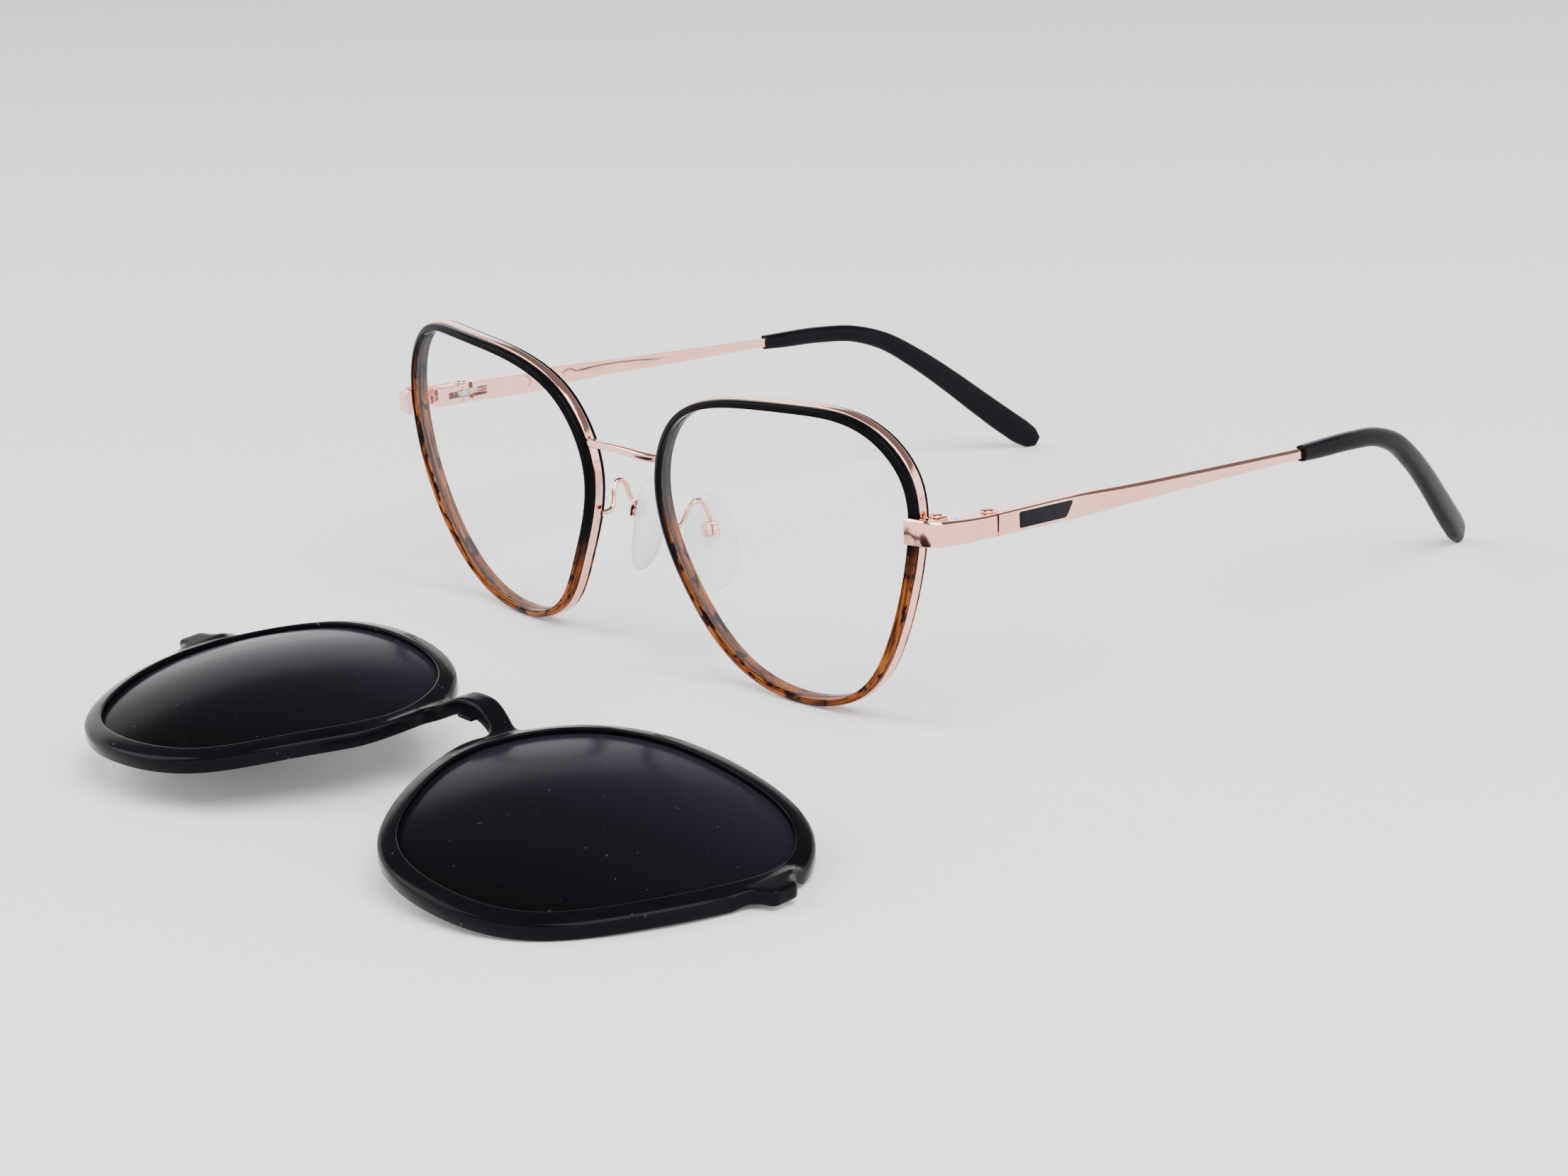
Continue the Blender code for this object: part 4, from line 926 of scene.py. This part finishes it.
# Profiles of its edges: (distance into the plate from the edge, depth behind its face)
OUTER_EDGE = [
    (0.55, 0.0), (0.33, 0.05), (0.14, 0.18), (0.03, 0.36), (0.0, 0.6), (0.0, 1.85), (0.1, 2.08),
    (0.3, 2.2)]
LENS_OPENING = [
    (0.32, 0.0), (0.17, 0.05), (0.05, 0.16), (0.0, 0.3), (0.0, 0.85), (0.6, 0.85), (0.6, 1.75),
    (0.0, 1.75), (0.0, 2.08), (0.12, 2.2)]
TAB_OUTLINE = [(59.5, 0.1, 0.0), (66.4, 2.3, 0.9), (66.4, 6.4, 0.9), (59.5, 8.6, 0.0)]
TAB_FRONT, TAB_BACK = 6.5, 8.8
TAB_MAGNET = Vector((64.4, 7.6, 4.4))
TAB_MAGNET_RADIUS, TAB_POCKET_RADIUS = 1.25, 1.35
ARCH_HALF_SPAN, ARCH_RISE, ARCH_HALF_HEIGHT = 9.7, 2.2, 1.75
ARCH_FACE, ARCH_DEPTH = 0.1, 2.5
BRIDGE_MAGNET = Vector((0.0, 1.35, 8.3))
ARCH_MAGNET_HALF, ARCH_MAGNET_RADIUS = 2.0, 0.8
ARCH_SEAT_HALF, ARCH_SEAT_RADIUS, ARCH_MOUTH_HALF = 2.3, 0.9, 0.7
ROOT_FILLET, TAB_FILLET = 2.6, 1.5
# Where the plate's curve eases into the arch, and outwards, upwards and downwards into a tab
ARCH_EASE_SPAN, ARCH_EASE_POWER = 8.8, 1.5
TAB_EASE_OUT, TAB_EASE_UP, TAB_EASE_DOWN = (60.8, 62.6), (-2.0, 1.0), (-11.0, -8.0)
# Points over the arch and tabs: their spacing and their distance from the outer and the lens edges
MIDDLE_STEP, MIDDLE_EDGE, MIDDLE_LENS_EDGE = 0.6, 0.95, 0.75
MIDDLE_COLUMNS, MIDDLE_ROWS = range(-112, 113), range(-5, 20)
ARCH_REACH, TAB_START = 12, 58


def eased(value, low, high):
    share = min(max((value - low) / (high - low), 0.0), 1.0)
    return share * share * (3 - 2 * share)


def on_clip(x, z, depth):
    """A point of the clip-on's plate: the rims' curve, easing into the arch and the flat side tabs."""
    side, away = (1 if x >= 0 else -1), abs(x)
    turn = radians(FRONT_WRAP)
    u = away - RIM_X
    for _ in range(4):
        back = (u * u + z * z) / (2 * BASE_RADIUS)
        u = (away - RIM_X + back * sin(turn)) / cos(turn)
    rim_face = u * sin(turn) + back * cos(turn)
    arch_share = cos(pi / 2 * min(away / ARCH_EASE_SPAN, 1) ** ARCH_EASE_POWER) ** 2
    face = rim_face + (ARCH_FACE - rim_face) * arch_share
    tab_share = eased(away, *TAB_EASE_OUT) * eased(z, *TAB_EASE_UP) * eased(-z, *TAB_EASE_DOWN)
    face += (TAB_FRONT - face) * tab_share
    depth *= 1 + (ARCH_DEPTH / CLIP_DEPTH - 1) * arch_share
    return Vector((x - side * depth * sin(turn) * (1 - arch_share), face + depth * cos(turn), z))


def rim_edge(distance):
    """The left rim's outline at a distance outside its inner edge, seen square from the front."""
    return [on_rim(u, v, 0).xz for u, v in outline_at(distance)]


def within(point, outline):
    """Whether a point lies inside a flat outline."""
    crossings = 0
    for a, b in zip(outline, outline[1:] + outline[:1]):
        if (a.y > point.y) != (b.y > point.y):
            crossings += point.x < a.x + (point.y - a.y) * (b.x - a.x) / (b.y - a.y)
    return crossings % 2 == 1


def blend(first, second, reach):
    """Two lines that meet, joined with a curve that starts and ends a reach away from the corner."""
    corner = first[-1]
    before = [p for p in first if (p - corner).length > reach]
    after = [p for p in second if (p - corner).length > reach]
    curve = []
    for k in range(1, 12):
        t = k / 12
        curve.append(before[-1] * (1 - t) ** 2 + corner * 2 * t * (1 - t) + after[0] * t ** 2)
    return before + curve + after


def clip_outline():
    """The clip-on's outer edge, counter-clockwise from the middle of the arch's underside."""
    rim = rim_edge(CLIP_BORDER)
    edges = []
    for half_height in (-ARCH_HALF_HEIGHT, ARCH_HALF_HEIGHT):
        line = []
        for k in range(60):
            x = ARCH_HALF_SPAN * k / 50
            rise = BRIDGE_MAGNET.z - ARCH_RISE * (x / ARCH_HALF_SPAN) ** 2
            line.append(Vector((x, rise + half_height)))
            if within(line[-1], rim):
                break
        edges.append(line)
    below, above = edges
    corners = [Vector(p) for p in rounded(TAB_OUTLINE, 6)]
    tab = []
    for a, b in zip(corners, corners[1:]):
        steps = max(int((b - a).length / 0.25), 1)
        tab += [a.lerp(b, k / steps) for k in range(steps)]
    tab = [p for p in tab if not within(p, rim)]

    def nearest(point):
        return min(range(len(rim)), key=lambda i: (rim[i] - point).length)

    def along_rim(start, end):
        first, last = nearest(start), nearest(end)
        count = (last - first) % len(rim)
        return [start] + [rim[(first + k) % len(rim)] for k in range(1, count)] + [end]

    half = blend(below, along_rim(below[-1], tab[0]), ROOT_FILLET)
    half = blend(half, tab, TAB_FILLET)
    half = blend(half, along_rim(tab[-1], above[-1]), TAB_FILLET)
    half = blend(half, above[::-1], ROOT_FILLET)
    return half + [Vector((-p.x, p.y)) for p in half[-2:0:-1]]


def inset(outline, distance):
    """An outline moved inwards."""
    moved = []
    for i, point in enumerate(outline):
        along = (outline[(i + 1) % len(outline)] - outline[i - 1]).normalized()
        moved.append(point + Vector((-along.y, along.x)) * distance)
    return moved


def middle_points(outer):
    """Points over the arch and the side tabs, clear of their edges, that carry the plate's curve."""
    margin, left = inset(outer, MIDDLE_EDGE), rim_edge(MIDDLE_LENS_EDGE)
    right = [Vector((-p.x, p.y)) for p in left]
    found = []
    for i in MIDDLE_COLUMNS:
        for j in MIDDLE_ROWS:
            point = Vector((i * MIDDLE_STEP, j * MIDDLE_STEP))
            if (abs(point.x) < ARCH_REACH or abs(point.x) > TAB_START) and within(point, margin):
                if not within(point, left) and not within(point, right):
                    found.append(point)
    return found


def fill(data, loops, middle, depth):
    """Close the plate between edge loops, (flat points, vertices), through the middle points."""
    flat, verts, edges = [], [], []
    for points, row in loops:
        first = len(flat)
        edges += [(first + j, first + (j + 1) % len(points)) for j in range(len(points))]
        flat += points
        verts += row
    flat += middle
    verts += [data.verts.new(on_clip(*point, depth)) for point in middle]
    inside_edges, nearness = 1, 1e-6
    spots, _, faces, sources, _, _ = delaunay_2d_cdt(flat, edges, [], inside_edges, nearness)
    openings = [points for points, _ in loops[1:]]
    for corners in faces:
        centre = sum((spots[k] for k in corners), Vector((0, 0))) / len(corners)
        if not any(within(centre, opening) for opening in openings):
            data.faces.new([verts[sources[k][0]] for k in corners])


def plate():
    """The one-piece front: strips round its outer and lens edges, with face and back between them."""
    data = bmesh.new()
    outer = clip_outline()
    strips = [[(inset(outer, distance), depth) for distance, depth in OUTER_EDGE]]
    for side in SIDES.values():
        strips.append([([Vector((side * x, z)) for x, z in rim_edge(distance)], depth)
                       for distance, depth in LENS_OPENING])
    face, back = [], []
    for strip in strips:
        rows = [[data.verts.new(on_clip(*point, depth)) for point in points] for points, depth in strip]
        count = len(rows[0])
        for row, following in zip(rows, rows[1:]):
            for j in range(count):
                k = (j + 1) % count
                data.faces.new((row[j], row[k], following[k], following[j]))
        face.append((strip[0][0], rows[0]))
        back.append((strip[-1][0], rows[-1]))
    middle = middle_points(outer)
    fill(data, face, middle, 0.0)
    fill(data, back, middle, CLIP_DEPTH)
    return data


def clip_axis():
    """The axis that the clip-on turns about when it is put on, in its own frame."""
    turn = FRONT.to_3x3() @ CLIP.to_3x3().transposed()
    axis, _ = turn.to_quaternion().to_axis_angle()
    return (CLIP.to_3x3().transposed() @ axis).normalized()


def clip_front():
    """The moulded front with a lip under its arch, its magnets and their seats."""
    axis = clip_axis()

    def along_axis(half, radius, edge=0.0):
        return rod(BRIDGE_MAGNET - axis * half, BRIDGE_MAGNET + axis * half, radius, edge=edge)

    lip = box(BRIDGE_MAGNET + Vector((-1.5, 0.7, -2.7)), BRIDGE_MAGNET + Vector((1.5, 1.2, -0.9)), 0.2)
    tools = [(ADD, lip)]
    for side in SIDES.values():
        pocket = rod(TAB_MAGNET, TAB_MAGNET + Vector((0, 3, 0)), TAB_POCKET_RADIUS)
        bmesh.ops.scale(pocket, vec=(side, 1, 1), verts=pocket.verts)
        tools.append((CUT, pocket))
    mouth = box(BRIDGE_MAGNET - Vector((2, 0, ARCH_MOUTH_HALF)),
                BRIDGE_MAGNET + Vector((2, 3, ARCH_MOUTH_HALF)))
    tools += [(CUT, along_axis(ARCH_SEAT_HALF, ARCH_SEAT_RADIUS)), (CUT, mouth)]
    made = carve(CLIP, 1, plate(), *tools)
    piece("clip_body", made, "clip_on", "clip_plastic", "clip_front", sharp=40)

    magnet = solid(along_axis(ARCH_MAGNET_HALF, ARCH_MAGNET_RADIUS, 0.08), CLIP)
    piece("clip_arch_magnet", magnet, "clip_magnet", "magnet", "clip_bridge_magnet")
    for word, side in SIDES.items():
        end = Vector((TAB_MAGNET.x, TAB_BACK + 0.05, TAB_MAGNET.z))
        disc = solid(rod(TAB_MAGNET, end, TAB_MAGNET_RADIUS, edge=0.06), CLIP, side)
        piece(word + "_tab_magnet", disc, "clip_on", "magnet", word + "_clip_magnet")


# --- Build --------------------------------------
camera()
studio()
for word, side in SIDES.items():
    rims(word, side)
    end_piece(word, side)
    rim_lock(word, side)
    nose_pad(word, side)
    temple(word, side)
    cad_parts[word + "_frame_magnet"].data.materials.clear()
    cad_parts[word + "_frame_magnet"].data.materials.append(SURFACES["magnet"])
bridge()
clip_front()
